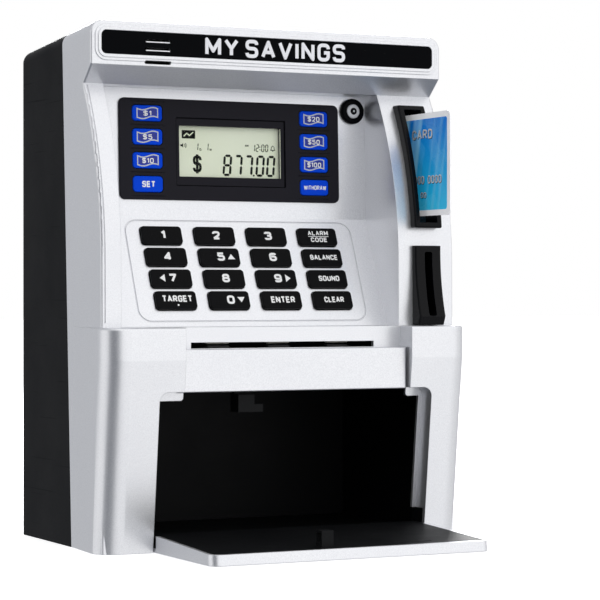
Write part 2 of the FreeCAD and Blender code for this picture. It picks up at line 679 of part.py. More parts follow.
def speaker():
    """Small loudspeaker behind the header's slots: basket, cone and magnet in one."""
    x = (SOUND_SLOT_X[0] + SOUND_SLOT_X[1]) / 2
    y, z = SPEAKER_FRONT_Y, SPEAKER_Z
    rim_r, magnet_r = SPEAKER_R
    rim = rod(rim_r, (x, y, z), (x, y + 1.6, z))
    basket = Part.makeCone(rim_r, magnet_r, 5.0, V(x, y + 1.5, z), V(0, 1, 0))
    magnet = rod(magnet_r, (x, y + 6.4, z), (x, y + 12.0, z))
    cone = Part.makeCone(rim_r - 1.4, 3.0, 4.0, V(x, y - 0.1, z), V(0, 1, 0))
    return fuse([basket, rim, magnet]).cut(cone)


# ---- slots and what lies behind them ----------------------------------------------------
def band(x, z, outside, inside):
    """Part of the column's curved front: a layer between two offsets of its outline."""
    layer = across(grown(cabinet_outline(0.0), outside), x)
    core = grown(cabinet_outline(0.0), inside) if inside else cabinet_outline(0.0)
    return layer.cut(across(core, (x[0] - 1, x[1] + 1))).common(box(x, (FAR_FRONT_Y, -10.0), z))


def card_slot_bezel():
    width, low, high, proud = CARD_BEZEL
    rim = band((SLOT_X - width / 2, SLOT_X + width / 2), (low, high), proud, 0.0)
    rim = round_edges(rim, 1.0, lambda m, d: front_rim(m, proud) or end_corner(m, d, width, low, high))
    sleeve_x, sleeve_z = card_sleeve()
    sleeve = box(sleeve_x, (-60.0, -18.0), sleeve_z)
    sleeve = sleeve.common(across(cabinet_outline(0.0), sleeve_x))
    sleeve = sleeve.common(band(sleeve_x, (CARD_MOUTH[1] - 2, CARD_MOUTH[2] + 2), 1.0, -7.0))
    half = CARD_MOUTH[0] / 2
    mouth = box((SLOT_X - half, SLOT_X + half), (FAR_FRONT_Y, -10.0), CARD_MOUTH[1:])
    return cut(fuse([rim, sleeve]), [mouth])


def front_rim(mid, proud):
    """True for the edges of the bezel's front face."""
    outline = grown(cabinet_outline(0.0), proud).OuterWire
    return outline.distToShape(Part.Vertex(V(0, mid.y, mid.z)))[0] < 0.02


def end_corner(mid, d, width, low, high):
    """True for the short corners at the bezel's two ends."""
    at_side = abs(abs(mid.x - SLOT_X) - width / 2) < 0.01
    return at_side and (abs(mid.z - low) < 0.01 or abs(mid.z - high) < 0.01) and abs(d.y) > 2


def coin_slot_bezel():
    """Black surround whose face curves outward above the ledge."""
    x = (SLOT_X - COIN_BEZEL_W / 2, SLOT_X + COIN_BEZEL_W / 2)
    rim = across(side_face([
        (-48.5, 153.6), (-53.0, 153.6), (-54.3, 134.0, -58.4, 116.6), (-56.4, 112.0), (-48.5, 112.0),
    ]), x)
    rim = rim.cut(across(cabinet_outline(0.0), (x[0] - 1, x[1] + 1)))
    rim = round_edges(rim, 1.0, lambda m, d: abs(abs(m.x - SLOT_X) - COIN_BEZEL_W / 2) < 0.01 and m.y < -51.5)
    sleeve_x, sleeve_z = coin_sleeve()
    sleeve = box(sleeve_x, (-52.0, -46.9), sleeve_z)
    half = COIN_SLOT[0] / 2
    slot = box((SLOT_X - half, SLOT_X + half), (FAR_FRONT_Y, -40.0), COIN_SLOT[1:])
    slot = round_edges(slot, 1.2, lambda m, d: abs(d.y) > 5)
    return fuse([rim, sleeve]).cut(slot)


def coin_chute():
    """Narrow upright duct that drops a coin into the vault."""
    half = CHUTE_W / 2
    inside = (SLOT_X - half + CHUTE_WALL, SLOT_X + half - CHUTE_WALL)
    duct = box((SLOT_X - half, SLOT_X + half), CHUTE_Y, CHUTE_Z)
    inner = box(inside, (CHUTE_Y[0] + CHUTE_WALL, CHUTE_Y[1] - CHUTE_WALL),
                (LINER_Z[1] - 6, CHUTE_Z[1] - CHUTE_WALL))
    mouth = box(inside, (CHUTE_Y[0] - 3, -40.0), COIN_SLOT[1:])
    return cut(duct, [inner, mouth])


def card_guide():
    """Slim pocket that the card slides into."""
    pocket = box((SLOT_X - CARD_GUIDE_W / 2, SLOT_X + CARD_GUIDE_W / 2), CARD_GUIDE_Y, CARD_GUIDE_Z)
    half = CARD[0] / 2 + 0.35
    slot = box((SLOT_X - half, SLOT_X + half), (-30.0, CARD_GUIDE_Y[1] - 1.5),
               (CARD_Z - CARD[2] / 2 - 0.5, CARD_Z + CARD[2] / 2 + 0.5))
    return pocket.cut(slot)


def play_card():
    thick, length, height = CARD
    card = box((SLOT_X - thick / 2, SLOT_X + thick / 2), (CARD_FRONT_Y, CARD_FRONT_Y + length),
               (CARD_Z - height / 2, CARD_Z + height / 2))
    return round_edges(card, CARD_CORNER_R, lambda m, d: abs(d.x) > 0.5)


def bill_slot_panel():
    """Silver cover between the legs, under the note slit."""
    x = (-60.2, 66.0)
    block = box(x, (-59.6, LEDGE_FRONT_Y - 0.1), (OPENING_TOP - 0.5, 100.7))
    block = round_edges(block, 0.7, lambda m, d: m.y < -59.5)
    inner = box((x[0] + 2, x[1] - 2), (-57.6, LEDGE_FRONT_Y + 1), (OPENING_TOP + 1.5, 98.7))
    return block.cut(inner)


# ---- vault ------------------------------------------------------------------------------
def vault_liner():
    """Black box that holds the money: open in front, with drop holes in its ceiling."""
    low, high = LINER_Z
    t = LINER_T

    def outline(inset):
        return side_face([
            (leg_y(low, REVEAL_DEPTH + 0.4 + inset), low + inset),
            (leg_y(LINER_STEP_Z, REVEAL_DEPTH + 0.4 + inset), LINER_STEP_Z),
            (LEDGE_FRONT_Y + WALL + 0.3 + inset, LINER_STEP_Z + 0.6),
            (LEDGE_FRONT_Y + WALL + 0.3 + inset, high - inset),
            (LINER_BACK_Y - inset, high - inset),
            (LINER_BACK_Y - inset, low + inset),
        ])

    outside = across(outline(0.0), (-LINER_X, LINER_X))
    return cut(outside, [
        across(outline(t), (-LINER_X + t, LINER_X - t)),
        box(OPENING_X, (-70.0, -36.0), (low + t, OPENING_TOP - 0.5)),
        box(*NOTE_HOLE, CEILING_CUT_Z),
        box(*COIN_HOLE, CEILING_CUT_Z),
        box(*BOLT_HOLE, (68.0, CEILING_CUT_Z[1])),
    ])


def hinge_pins():
    """Two brackets in the legs, each with the pin that the door turns on."""
    brackets = []
    for side, x in ((-1, OPENING_X[0]), (1, OPENING_X[1])):
        block = box(sorted((x + side * 0.1, x + side * 4.4)), (HINGE_Y - 2.7, -42.8), (WALL + 0.2, 15.7))
        pin = rod(HINGE_PIN_R, (x + side * 1.0, HINGE_Y, HINGE_Z), (x - side * 5.0, HINGE_Y, HINGE_Z))
        brackets.append(fuse([block, pin]))
    return Part.makeCompound(brackets)


DOOR_X = (OPENING_X[0] + DOOR_SIDE_GAP, OPENING_X[1] - DOOR_SIDE_GAP)
DOOR_FREE_Y = HINGE_Y - DOOR_REACH
BARREL_R = HINGE_Z - DOOR_GAP


def door_outline():
    """Side outline of the open door: a hinge barrel and a slab that thins towards its free edge."""
    rise = DOOR_INNER_Z[0] - HINGE_Z
    run = math.sqrt(BARREL_R ** 2 - rise ** 2)
    return side_face([
        (DOOR_FREE_Y, DOOR_GAP),
        (HINGE_Y, DOOR_GAP),
        (HINGE_Y + BARREL_R, HINGE_Z, HINGE_Y + run, DOOR_INNER_Z[0]),
        (HINGE_Y - 4.0, DOOR_INNER_Z[0]),
        (DOOR_FREE_Y + 0.6, DOOR_INNER_Z[1]),
    ])


def door_slab():
    slab = across(door_outline(), DOOR_X)
    return round_edges(slab, OPENING_R + 0.4, lambda m, d: m.y < DOOR_FREE_Y + 1 and abs(d.z) > 4)


def door_core():
    """The room inside the door's skin, which the black liner fills."""
    core = box((DOOR_X[0] + 1.8, DOOR_X[1] - 1.8), (DOOR_FREE_Y + 2.4, HINGE_Y - 7.0),
               (DOOR_GAP + DOOR_SKIN, 30.0))
    core = round_edges(core, 3.6, lambda m, d: m.y < DOOR_FREE_Y + 3 and abs(d.z) > 4)
    whole_x = (DOOR_X[0] - 1, DOOR_X[1] + 1)
    hinge_room = box(whole_x, (HINGE_Y - 7.01, HINGE_Y + 10), (DOOR_GAP + DOOR_SKIN, 30.0))
    barrel_room = box(whole_x, (HINGE_Y - 0.01, HINGE_Y + 10), (-1.0, 30.0))
    return fuse([core, hinge_room, barrel_room])


def vault_door():
    """Silver outer skin of the fold-down door."""
    return door_slab().cut(door_core())


def door_liner():
    """Black inner moulding of the door, with the hinge barrel and the catch."""
    filled = door_slab().common(door_core())
    hollow = box((DOOR_X[0] + 4, DOOR_X[1] - 4), (DOOR_FREE_Y + 5.0, HINGE_Y - 10.0), (0.0, 4.2))
    catch_y = (HINGE_Y - BOLT_ARM_L - 3.2, HINGE_Y - BOLT_ARM_L + 3.2)
    catch = box((-12.6, -6.2), catch_y, (5.0, HINGE_Z + BOLT_ARM_H + 3.4))
    half = BOLT_NOSE / 2 + 0.35
    keeper = box((-20.0, -4.0), (HINGE_Y - BOLT_ARM_L - half, HINGE_Y - BOLT_ARM_L + half),
                 (HINGE_Z + BOLT_ARM_H - half, HINGE_Z + BOLT_ARM_H + half))
    grip = rod(2.2, (30.0, DOOR_FREE_Y + 9.0, 7.9), (50.0, DOOR_FREE_Y + 9.0, 7.9))
    bores = [rod(HINGE_PIN_R + RUNNING_FIT, (x, HINGE_Y, HINGE_Z), (x - side * 8.0, HINGE_Y, HINGE_Z))
             for side, x in ((-1, DOOR_X[0] - 1), (1, DOOR_X[1] + 1))]
    body = fuse([filled.cut(hollow), catch.cut(keeper)])
    return cut(body, bores + [grip, keeper])


# ---- latch ------------------------------------------------------------------------------
CLOSING = math.radians(LEAN)     # the door turns through the legs' lean to close
BOLT_Y = HINGE_Y - BOLT_ARM_L * math.cos(CLOSING) + BOLT_ARM_H * math.sin(CLOSING)
BOLT_Z = HINGE_Z + BOLT_ARM_L * math.sin(CLOSING) + BOLT_ARM_H * math.cos(CLOSING)
PLUNGER = (-25.0, 93.6)


def latch_bolt():
    """Sliding bolt on a bent arm, with the solenoid's plunger at its other end."""
    half = BOLT_NOSE / 2
    nose = box((-20.0, -13.2), (BOLT_Y - half, BOLT_Y + half), (BOLT_Z - half, BOLT_Z + half))
    block = box((-27.0, -18.0), (BOLT_Y - half, -43.2), (BOLT_Z - half, 77.6))
    neck = box((-27.0, -18.0), (-47.9, -43.2), (77.0, 91.6))
    arm = box((-27.0, -20.0), (-47.9, -22.0), (88.6, 91.6))
    post = box((-27.0, -23.0), (-28.0, -22.0), (88.6, PLUNGER[1] + 3))
    plunger = rod(2.0, (-26.0, *PLUNGER), (-44.0, *PLUNGER))
    return fuse([nose, block, neck, arm, post, plunger])


def latch_solenoid():
    """Coil that throws and draws the bolt."""
    coil = rod(5.6, (-51.0, *PLUNGER), (-32.0, *PLUNGER))
    frame_y = (PLUNGER[0] - 6.2, PLUNGER[0] + 6.2)
    ends = [box(x, frame_y, (87.5, 99.6)) for x in ((-52.5, -51.0), (-32.0, -30.5))]
    foot = box((-52.5, -30.5), frame_y, (86.2, 87.7))
    return fuse([coil, foot] + ends).cut(rod(2.3, (-50.0, *PLUNGER), (-29.0, *PLUNGER)))


# ---- note feed --------------------------------------------------------------------------
def gear(teeth, x, y, z, turn):
    """Spur gear with straight-sided teeth, its axis along X."""
    pitch_r = GEAR_MODULE * teeth / 2
    tip_r = pitch_r + 0.9 * GEAR_MODULE
    root_r = pitch_r - 1.15 * GEAR_MODULE
    step = 2 * math.pi / teeth
    points = []
    for i in range(teeth):
        for r, share in ((root_r, -0.36), (tip_r, -0.12), (tip_r, 0.12), (root_r, 0.36)):
            a = turn + (i + share) * step
            points.append((y + r * math.cos(a), z + r * math.sin(a)))
    return across(side_face(points), x)


GEAR_DISTANCE = GEAR_MODULE * (GEAR_TEETH + PINION_TEETH) / 2 + GEAR_CLEARANCE
MOTOR_Y = FEED_Y + GEAR_DISTANCE


def drive_gear():
    body = gear(GEAR_TEETH, GEAR_X, FEED_Y, DRIVE_Z, 0.0)
    return body.cut(rod(1.5, (-70, FEED_Y, DRIVE_Z), (-60, FEED_Y, DRIVE_Z)))


def motor_pinion():
    """Pinion and the motor shaft that carries it."""
    half_step = math.pi / PINION_TEETH
    body = gear(PINION_TEETH, GEAR_X, MOTOR_Y, DRIVE_Z, math.pi + half_step)
    return fuse([body, rod(1.0, (-86.0, MOTOR_Y, DRIVE_Z), (GEAR_X[1], MOTOR_Y, DRIVE_Z))])


def bill_motor():
    can = rod(9.8, (-92.0, MOTOR_Y, DRIVE_Z), (-70.5, MOTOR_Y, DRIVE_Z))
    collar = rod(3.0, (-71.0, MOTOR_Y, DRIVE_Z), (-69.0, MOTOR_Y, DRIVE_Z))
    bore = rod(1.0 + RUNNING_FIT, (-88.0, MOTOR_Y, DRIVE_Z), (-60.0, MOTOR_Y, DRIVE_Z))
    return fuse([can, collar]).cut(bore)


def roller(z, radius, shaft_r, x):
    tyres = [rod(radius, (m - TYRE_W / 2, FEED_Y, z), (m + TYRE_W / 2, FEED_Y, z)) for m in TYRE_X]
    return fuse([rod(shaft_r, (x[0], FEED_Y, z), (x[1], FEED_Y, z))] + tyres)


def feed_frame():
    """Brackets for the two rollers, the tray that notes run over, and the motor's seat."""
    sides = [box(x, (-48.0, -16.0), (86.2, 108.8)) for x in ((-56.0, -54.0), (54.0, 56.0))]
    tray = box((-55.0, 55.0), (-48.0, -16.0), (100.4, 101.2))
    seat = box((-92.0, -55.0), (MOTOR_Y - 7.0, MOTOR_Y + 7.0), (86.2, 88.0))
    saddle = box((-90.0, -74.0), (MOTOR_Y - 7.0, MOTOR_Y + 7.0), (86.2, 92.0))
    tools = [rod(9.85, (-95.0, MOTOR_Y, DRIVE_Z), (-69.0, MOTOR_Y, DRIVE_Z))]
    tools += [box((m - 7, m + 7), (FEED_Y - 5.2, FEED_Y + 5.2), (99.0, 102.0)) for m in TYRE_X]
    tools.append(rod(1.5 + RUNNING_FIT, (-60, FEED_Y, DRIVE_Z), (60, FEED_Y, DRIVE_Z)))
    tools.append(rod(1.2 + RUNNING_FIT, (-60, FEED_Y, IDLER_Z), (60, FEED_Y, IDLER_Z)))
    return cut(fuse(sides + [tray, seat, saddle]), tools)


# ---- batteries --------------------------------------------------------------------------
CELL_Z = 133.5
CELL_Y = 54.6


def cell_places():
    return [(i * 15.4, CELL_Z) for i in (-1, 0, 1)]


def battery_box():
    outer = box((-BATTERY_X - 1.6, BATTERY_X + 1.6), (45.0, BACK_Y - WALL - 0.1),
                (BATTERY_Z[0] - 1.6, BATTERY_Z[1] + 1.6))
    inner = box((-24.0, 24.0), (46.6, BACK_Y + 1), (BATTERY_Z[0] + 0.4, BATTERY_Z[1] - 0.4))
    return outer.cut(inner)


def batteries():
    cells = []
    for x, z in cell_places():
        can = rod(CELL_R, (x, CELL_Y, z), (x, CELL_Y, z + CELL_L - 1.2))
        can = round_edges(can, 0.6, lambda m, d: abs(m.z - z) < 0.01 or m.z > z + CELL_L - 1.3)
        cells.append(fuse([can, rod(2.7, (x, CELL_Y, z + 1), (x, CELL_Y, z + CELL_L))]))
    return Part.makeCompound(cells)


def battery_contacts():
    """A spring and a tab for each cell."""
    pieces = []
    for x, z in cell_places():
        pieces.append(Part.makeCone(4.5, 2.2, z - BATTERY_Z[0] - 0.7, V(x, CELL_Y, BATTERY_Z[0] + 0.5)))
        pieces.append(rod(3.5, (x, CELL_Y, z + CELL_L + 0.1), (x, CELL_Y, BATTERY_Z[1] - 0.5)))
    return Part.makeCompound(pieces)


def battery_cover():
    """Snap-in cover, flush with the back, with grip ribs and a thumb tab."""
    x = BATTERY_X - 0.4
    z = (BATTERY_Z[0] + 0.4, BATTERY_Z[1] - 0.4)
    plate_ = box((-x, x), (BACK_Y - 2.2, BACK_Y - 0.1), z)
    plate_ = round_edges(plate_, 0.6, lambda m, d: m.y > BACK_Y - 0.2)
    ribs = [box((-12.0, 12.0), (BACK_Y - 0.9, BACK_Y + 1), (z[1] - 9.0 - 2.4 * i, z[1] - 7.8 - 2.4 * i))
            for i in range(5)]
    return cut(plate_, ribs)


# ---- write every node -------------------------------------------------------------------
def all_nodes():
    shell = cabinet_shell()
    nodes = {
        "front_housing": front_housing(shell),
        "rear_shell": rear_shell(shell),
        "base_plate": base_plate(),
        "housing_screws": housing_screws(),
        "header_plaque": header_plaque(),
        "screen_fascia": screen_fascia(),
        "lcd_window": lcd_window(),
        "lcd_panel": lcd_panel(),
        "camera_bezel": camera_bezel(),
        "camera_lens": camera_lens(),
        "card_slot_bezel": card_slot_bezel(),
        "coin_slot_bezel": coin_slot_bezel(),
        "bill_slot_panel": bill_slot_panel(),
        "keypad_membrane": keypad_membrane(),
        "keypad_board": keypad_board(),
        "control_board": control_board(),
        "speaker": speaker(),
        "coin_chute": coin_chute(),
        "card_guide": card_guide(),
        "play_card": play_card(),
        "vault_liner": vault_liner(),
        "hinge_pins": hinge_pins(),
        "vault_door": vault_door(),
        "door_liner": door_liner(),
        "latch_bolt": latch_bolt(),
        "latch_solenoid": latch_solenoid(),
        "feed_frame": feed_frame(),
        "bill_motor": bill_motor(),
        "motor_pinion": motor_pinion(),
        "drive_gear": drive_gear(),
        "drive_roller": roller(DRIVE_Z, DRIVE_R, 1.5, (-69.0, 58.0)),
        "idler_roller": roller(IDLER_Z, IDLER_R, 1.2, (-57.5, 57.5)),
        "battery_box": battery_box(),
        "batteries": batteries(),
        "battery_contacts": battery_contacts(),
        "battery_cover": battery_cover(),
    }
    for name, x, s in pad_key_places():
        nodes[name] = on_pad(keycap(PAD_KEY, PAD_KEY_FOOT), x, s)
    for name, x, s in cash_key_places():
        nodes[name] = placed(keycap(CASH_KEY, CASH_KEY_FOOT), x, PANEL_TOP, PANEL_LEAN, s)
    return nodes


def main():
    os.makedirs("parts", exist_ok=True)
    for name, shape in all_nodes().items():
        if not shape.isValid():
            print("not valid:", name)
        print(name, len(shape.Solids), "solids", round(shape.Volume / 1000, 2), "cm3")
        shape.exportStep("parts/" + name + ".step")
    print("hinge axis", round(HINGE_Y, 3), HINGE_Z, "closing angle", round(LEAN, 3))
    print("keypad lean", round(PAD_LEAN, 3), "panel lean", round(PANEL_LEAN, 3))
    print("gear distance", round(GEAR_DISTANCE, 3), "bolt", round(BOLT_Y, 2), round(BOLT_Z, 2))


main()
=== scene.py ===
import json
import math

import bmesh
import bpy
from mathutils import Matrix, Vector


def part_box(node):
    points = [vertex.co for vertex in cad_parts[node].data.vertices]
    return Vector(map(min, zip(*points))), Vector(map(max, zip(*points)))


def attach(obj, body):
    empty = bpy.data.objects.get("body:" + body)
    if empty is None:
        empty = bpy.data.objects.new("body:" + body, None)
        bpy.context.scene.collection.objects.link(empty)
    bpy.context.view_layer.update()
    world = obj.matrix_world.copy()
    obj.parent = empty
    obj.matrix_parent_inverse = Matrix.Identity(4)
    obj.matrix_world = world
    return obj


# Looks of the toy cash-machine savings bank.
# Metres, in the model's own frame: X across, Y to the back, Z up. Named sizes of marks are millimetres.

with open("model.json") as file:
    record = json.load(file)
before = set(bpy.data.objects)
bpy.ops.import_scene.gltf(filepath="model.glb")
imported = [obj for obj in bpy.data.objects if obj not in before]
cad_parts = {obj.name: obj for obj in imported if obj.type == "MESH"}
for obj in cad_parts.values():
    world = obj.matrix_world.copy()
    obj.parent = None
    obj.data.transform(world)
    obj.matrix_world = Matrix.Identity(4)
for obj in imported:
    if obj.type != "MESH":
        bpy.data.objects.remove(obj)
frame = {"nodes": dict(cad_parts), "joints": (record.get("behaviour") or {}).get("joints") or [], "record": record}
NODES = frame["nodes"]
JOINTS = {joint["name"]: joint for joint in frame["joints"]}
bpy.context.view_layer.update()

MM = 0.001
CABINET = "cabinet"
FRONT = Vector((0, -1, 0))
KEYPAD_OUT = -Vector(JOINTS["key_1_press"]["axis"])
PANEL_OUT = -Vector(JOINTS["cash_key_1_press"]["axis"])
PRINT_PROUD = 0.05        # printed marks stand this much proud, in millimetres
PRINT_SINK = 0.03         # and reach this far into the surface


# ---- places on the frame ----------------------------------------------------------------
def surface(node, normal):
    """A frame on a node's outer side: origin in the middle, X to the right, Z along the normal.

    It comes with the side's width and height in millimetres."""
    z = Vector(normal).normalized()
    x = Vector((0, 0, 1)).cross(z).normalized()
    y = z.cross(x)
    points = [v.co for v in NODES[node].data.vertices]
    across, up, out = [[p.dot(axis) for p in points] for axis in (x, y, z)]
    left, right, low, high = min(across), max(across), min(up), max(up)
    origin = x * (left + right) / 2 + y * (low + high) / 2 + z * max(out)
    turn = Matrix((x, y, z)).transposed().to_4x4()
    return Matrix.Translation(origin) @ turn, (right - left) / MM, (high - low) / MM


# ---- lettering --------------------------------------------------------------------------
# Block signs as strokes on a grid 4 wide and 6 high. A round sign's strokes turn in curves.
LETTER_HIGH = 6.0
LETTER_GAP = 2.6          # between two signs' strokes, middle to middle
LETTER_CURVE = 1.7        # how far a curve reaches to each side of its corner
CURVE_STEPS = 5
WORD_SPACE = 1.6
NEAR = 0.02               # points nearer than this are one
SHARP_STROKES = {
    "1": [[(0, 4.7), (1.6, 6), (1.6, 0)]],
    "2": [[(0, 0), (4, 0)]],
    "4": [[(3.1, 0), (3.1, 6), (0, 1.6), (4.2, 1.6)]],
    "5": [[(3.9, 6), (0.4, 6), (0.2, 3.4)]],
    "7": [[(0, 6), (4, 6), (1.5, 0)]],
    "A": [[(0, 0), (2.3, 6), (4.6, 0)], [(0.8, 1.9), (3.8, 1.9)]],
    "B": [[(0, 0), (0, 6)]],
    "D": [[(0, 0), (0, 6)]],
    "E": [[(3.8, 6), (0, 6), (0, 0), (3.8, 0)], [(0, 3.1), (3.5, 3.1)]],
    "G": [[(4, 0.9), (4, 2.9), (2.2, 2.9)]],
    "H": [[(0, 0), (0, 6)], [(4, 0), (4, 6)], [(0, 3.1), (4, 3.1)]],
    "I": [[(0, 0), (0, 6)]],
    "L": [[(0, 6), (0, 0), (3.6, 0)]],
    "M": [[(0, 0), (0, 6), (2.6, 1.4), (5.2, 6), (5.2, 0)]],
    "N": [[(0, 0), (0, 6), (4.2, 0), (4.2, 6)]],
    "P": [[(0, 0), (0, 6)]],
    "R": [[(0, 0), (0, 6)], [(2.1, 2.8), (4.2, 0)]],
    "T": [[(0, 6), (4.4, 6)], [(2.2, 6), (2.2, 0)]],
    "V": [[(0, 6), (2.3, 0), (4.6, 6)]],
    "W": [[(0, 6), (1.5, 0), (3.1, 5.2), (4.7, 0), (6.2, 6)]],
    "Y": [[(0, 6), (2.3, 2.7), (4.6, 6)], [(2.3, 2.9), (2.3, 0)]],
    "$": [[(2, 7.1), (2, -1.1)]],
}
ROUND_STROKES = {
    "0": [[(0, 0), (0, 6), (4, 6), (4, 0), (0, 0)]],
    "2": [[(0, 4.4), (0, 6), (4, 6), (4, 3.3), (0.2, 0)]],
    "3": [[(0, 4.9), (0, 6), (3.9, 6), (3.9, 3.2), (1.4, 3.2)],
          [(1.4, 3.2), (4, 3.2), (4, 0), (0, 0), (0, 1.1)]],
    "5": [[(0.2, 3.5), (4, 3.7), (4, 0), (0, 0), (0, 1.2)]],
    "6": [[(3.8, 5), (3.8, 6), (0, 6), (0, 0), (4, 0), (4, 3.5), (0.3, 3.5)]],
    "8": [[(0.2, 3.2), (0.2, 6), (3.8, 6), (3.8, 3.2), (0.2, 3.2)],
          [(0, 0), (0, 3.2), (4, 3.2), (4, 0), (0, 0)]],
    "9": [[(0.2, 1), (0.2, 0), (4, 0), (4, 6), (0, 6), (0, 2.5), (3.7, 2.5)]],
    "B": [[(0, 6), (3.7, 6), (3.7, 3.2), (0, 3.2)], [(0, 3.2), (4, 3.2), (4, 0), (0, 0)]],
    "C": [[(4, 4.3), (4, 6), (0, 6), (0, 0), (4, 0), (4, 1.7)]],
    "D": [[(0, 6), (4.2, 6), (4.2, 0), (0, 0)]],
    "G": [[(4, 4.5), (4, 6), (0, 6), (0, 0), (4, 0), (4, 1.7)]],
    "O": [[(0, 0), (0, 6), (4.4, 6), (4.4, 0), (0, 0)]],
    "P": [[(0, 6), (4, 6), (4, 2.7), (0, 2.7)]],
    "R": [[(0, 6), (4, 6), (4, 2.8), (0, 2.8)]],
    "S": [[(4, 4.7), (4, 6), (0, 6), (0, 3.1), (4, 3.1), (4, 0), (0, 0), (0, 1.3)]],
    "U": [[(0, 6), (0, 0), (4.2, 0), (4.2, 6)]],
}
ROUND_STROKES["$"] = ROUND_STROKES["S"]


def curved(points):
    """The same stroke with its corners eased into curves, and whether it is a loop."""
    path = [Vector(p) for p in points]
    loop = points[0] == points[-1]
    if loop:
        middle = (path[0] + path[1]) / 2
        path = [middle] + path[1:] + [middle]
    last = len(path) - 1
    eased = [path[0]]
    for i in range(1, last):
        before, corner, after = path[i - 1], path[i], path[i + 1]
        share_in = 1.0 if i == 1 else 0.5
        share_out = 1.0 if i == last - 1 else 0.5
        reach = min(LETTER_CURVE, share_in * (before - corner).length, share_out * (after - corner).length)
        start = corner + (before - corner).normalized() * reach
        end = corner + (after - corner).normalized() * reach
        for step in range(CURVE_STEPS + 1):
            t = step / CURVE_STEPS
            eased.append(start * (1 - t) ** 2 + corner * 2 * t * (1 - t) + end * t ** 2)
    eased.append(path[-1])
    tidy = [a for a, b in zip(eased, eased[1:]) if (a - b).length > NEAR]
    return (tidy if loop else tidy + [eased[-1]]), loop


def lettering(words):
    """Strokes of a line of block signs, and the line's width, in grid units."""
    strokes = []
    x = 0.0
    for sign in words:
        if sign == " ":
            x += WORD_SPACE
            continue
        sharp, soft = SHARP_STROKES.get(sign, []), ROUND_STROKES.get(sign, [])
        right = max(u for points in sharp + soft for u, _ in points)
        drawn = [([Vector(p) for p in points], False) for points in sharp]
        drawn += [curved(points) for points in soft]
        for points, loop in drawn:
            strokes.append(([(x + p.x, p.y) for p in points], loop))
        x += right + LETTER_GAP
    return strokes, x - LETTER_GAP


# ---- pieces -----------------------------------------------------------------------------
def add_to_scene(name, data):
    obj = bpy.data.objects.new(name, data)
    bpy.context.scene.collection.objects.link(obj)
    return obj


def piece(name, mesh, material, body):
    """A new visible piece that rides on a body and takes a material slot's finish."""
    mesh.materials.append(material)
    obj = add_to_scene(name, mesh)
    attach(obj, body)


MARK_LEVELS = 6           # heights that a drawing's marks take in turn
MARK_STEP = 0.003         # millimetres from one of them to the next
SHARP_TURN = -0.35        # cosine of the turn past which a stroke's corner is round
CORNER_STEPS = 16         # sides of the disc that rounds such a corner
SMALL_STEPS = 12          # and of the display's smallest discs


class Drawing:
    """Flat marks in millimetres on one plane, which become one mesh with an even thickness."""

    def __init__(self):
        self.work = bmesh.new()
        self.marks = 0

    def level(self):
        """The next mark's height, a hair from the last one's, so that crossing marks rarely share a plane."""
        self.marks += 1
        return self.marks % MARK_LEVELS * MARK_STEP

    def shape(self, points):
        z = self.level()
        self.work.faces.new([self.work.verts.new((x, y, z)) for x, y in points])

    def line(self, points, width, closed=False):
        """A stroke of even width: mitred at its corners, and round at those that turn back sharply."""
        path = [Vector(p) for p in points]
        count = len(path)
        sharp = []
        for i in range(0 if closed else 1, count if closed else count - 1):
            come, go = path[i] - path[i - 1], path[(i + 1) % count] - path[i]
            if come.normalized().dot(go.normalized()) < SHARP_TURN:
                sharp.append(i)
        for i in sharp:
            self.disc(path[i].x, path[i].y, width / 2, CORNER_STEPS)
        if closed and sharp:
            path = path[sharp[0]:] + path[:sharp[0] + 1]
            sharp = [i - sharp[0] for i in sharp[1:]]
            closed = False
        for start, end in zip([0] + sharp, sharp + [len(path) - 1]):
            self.strip(path[start:end + 1], width, closed)

    def strip(self, path, width, closed):
        """One run of a stroke, with mitred corners."""
        z = self.level()
        count = len(path)
        sides = []
        for i, point in enumerate(path):
            before = path[i - 1] if closed or i else point
            after = path[(i + 1) % count] if closed or i < count - 1 else point
            come, go = point - before, after - point
            come = (come if come.length else go).normalized()
            go = (go if go.length else come).normalized()
            across = Vector((-(come.y + go.y), come.x + go.x)).normalized()
            reach = width / 2 / across.dot(Vector((-come.y, come.x)))
            edge = [(point.x + s * across.x * reach, point.y + s * across.y * reach, z) for s in (1, -1)]
            sides.append([self.work.verts.new(corner) for corner in edge])
        for i in range(count if closed else count - 1):
            a, b = sides[i], sides[(i + 1) % count]
            self.work.faces.new((a[0], a[1], b[1], b[0]))

    def disc(self, x, y, radius, steps=32):
        turns = [2 * math.pi * i / steps for i in range(steps)]
        self.shape([(x + radius * math.cos(a), y + radius * math.sin(a)) for a in turns])

    def text(self, words, x, y, height, width, stroke):
        """Block letters centred on (x, y), with the given outer height, outer width and stroke."""
        strokes, wide = lettering(words)
        across = (width - stroke) / wide
        up = (height - stroke) / LETTER_HIGH
        for points, loop in strokes:
            self.line([(x + (u - wide / 2) * across, y + (v - LETTER_HIGH / 2) * up) for u, v in points],
                      stroke, loop)

    def mesh(self, name, place, low=-PRINT_SINK, high=PRINT_PROUD):
        """The finished mesh, between two heights over the surface that place stands for."""
        faces = list(self.work.faces)
        for face in faces:
            if face.normal.z < 0:
                face.normal_flip()
        made = bmesh.ops.extrude_face_region(self.work, geom=faces)
        raised = [v for v in made["geom"] if isinstance(v, bmesh.types.BMVert)]
        bmesh.ops.translate(self.work, verts=raised, vec=(0, 0, high - low))
        bmesh.ops.translate(self.work, verts=list(self.work.verts), vec=(0, 0, low))
        bmesh.ops.recalc_face_normals(self.work, faces=list(self.work.faces))
        out = bpy.data.meshes.new(name)
        self.work.to_mesh(out)
        self.work.free()
        out.transform(place @ Matrix.Scale(MM, 4))
        return out


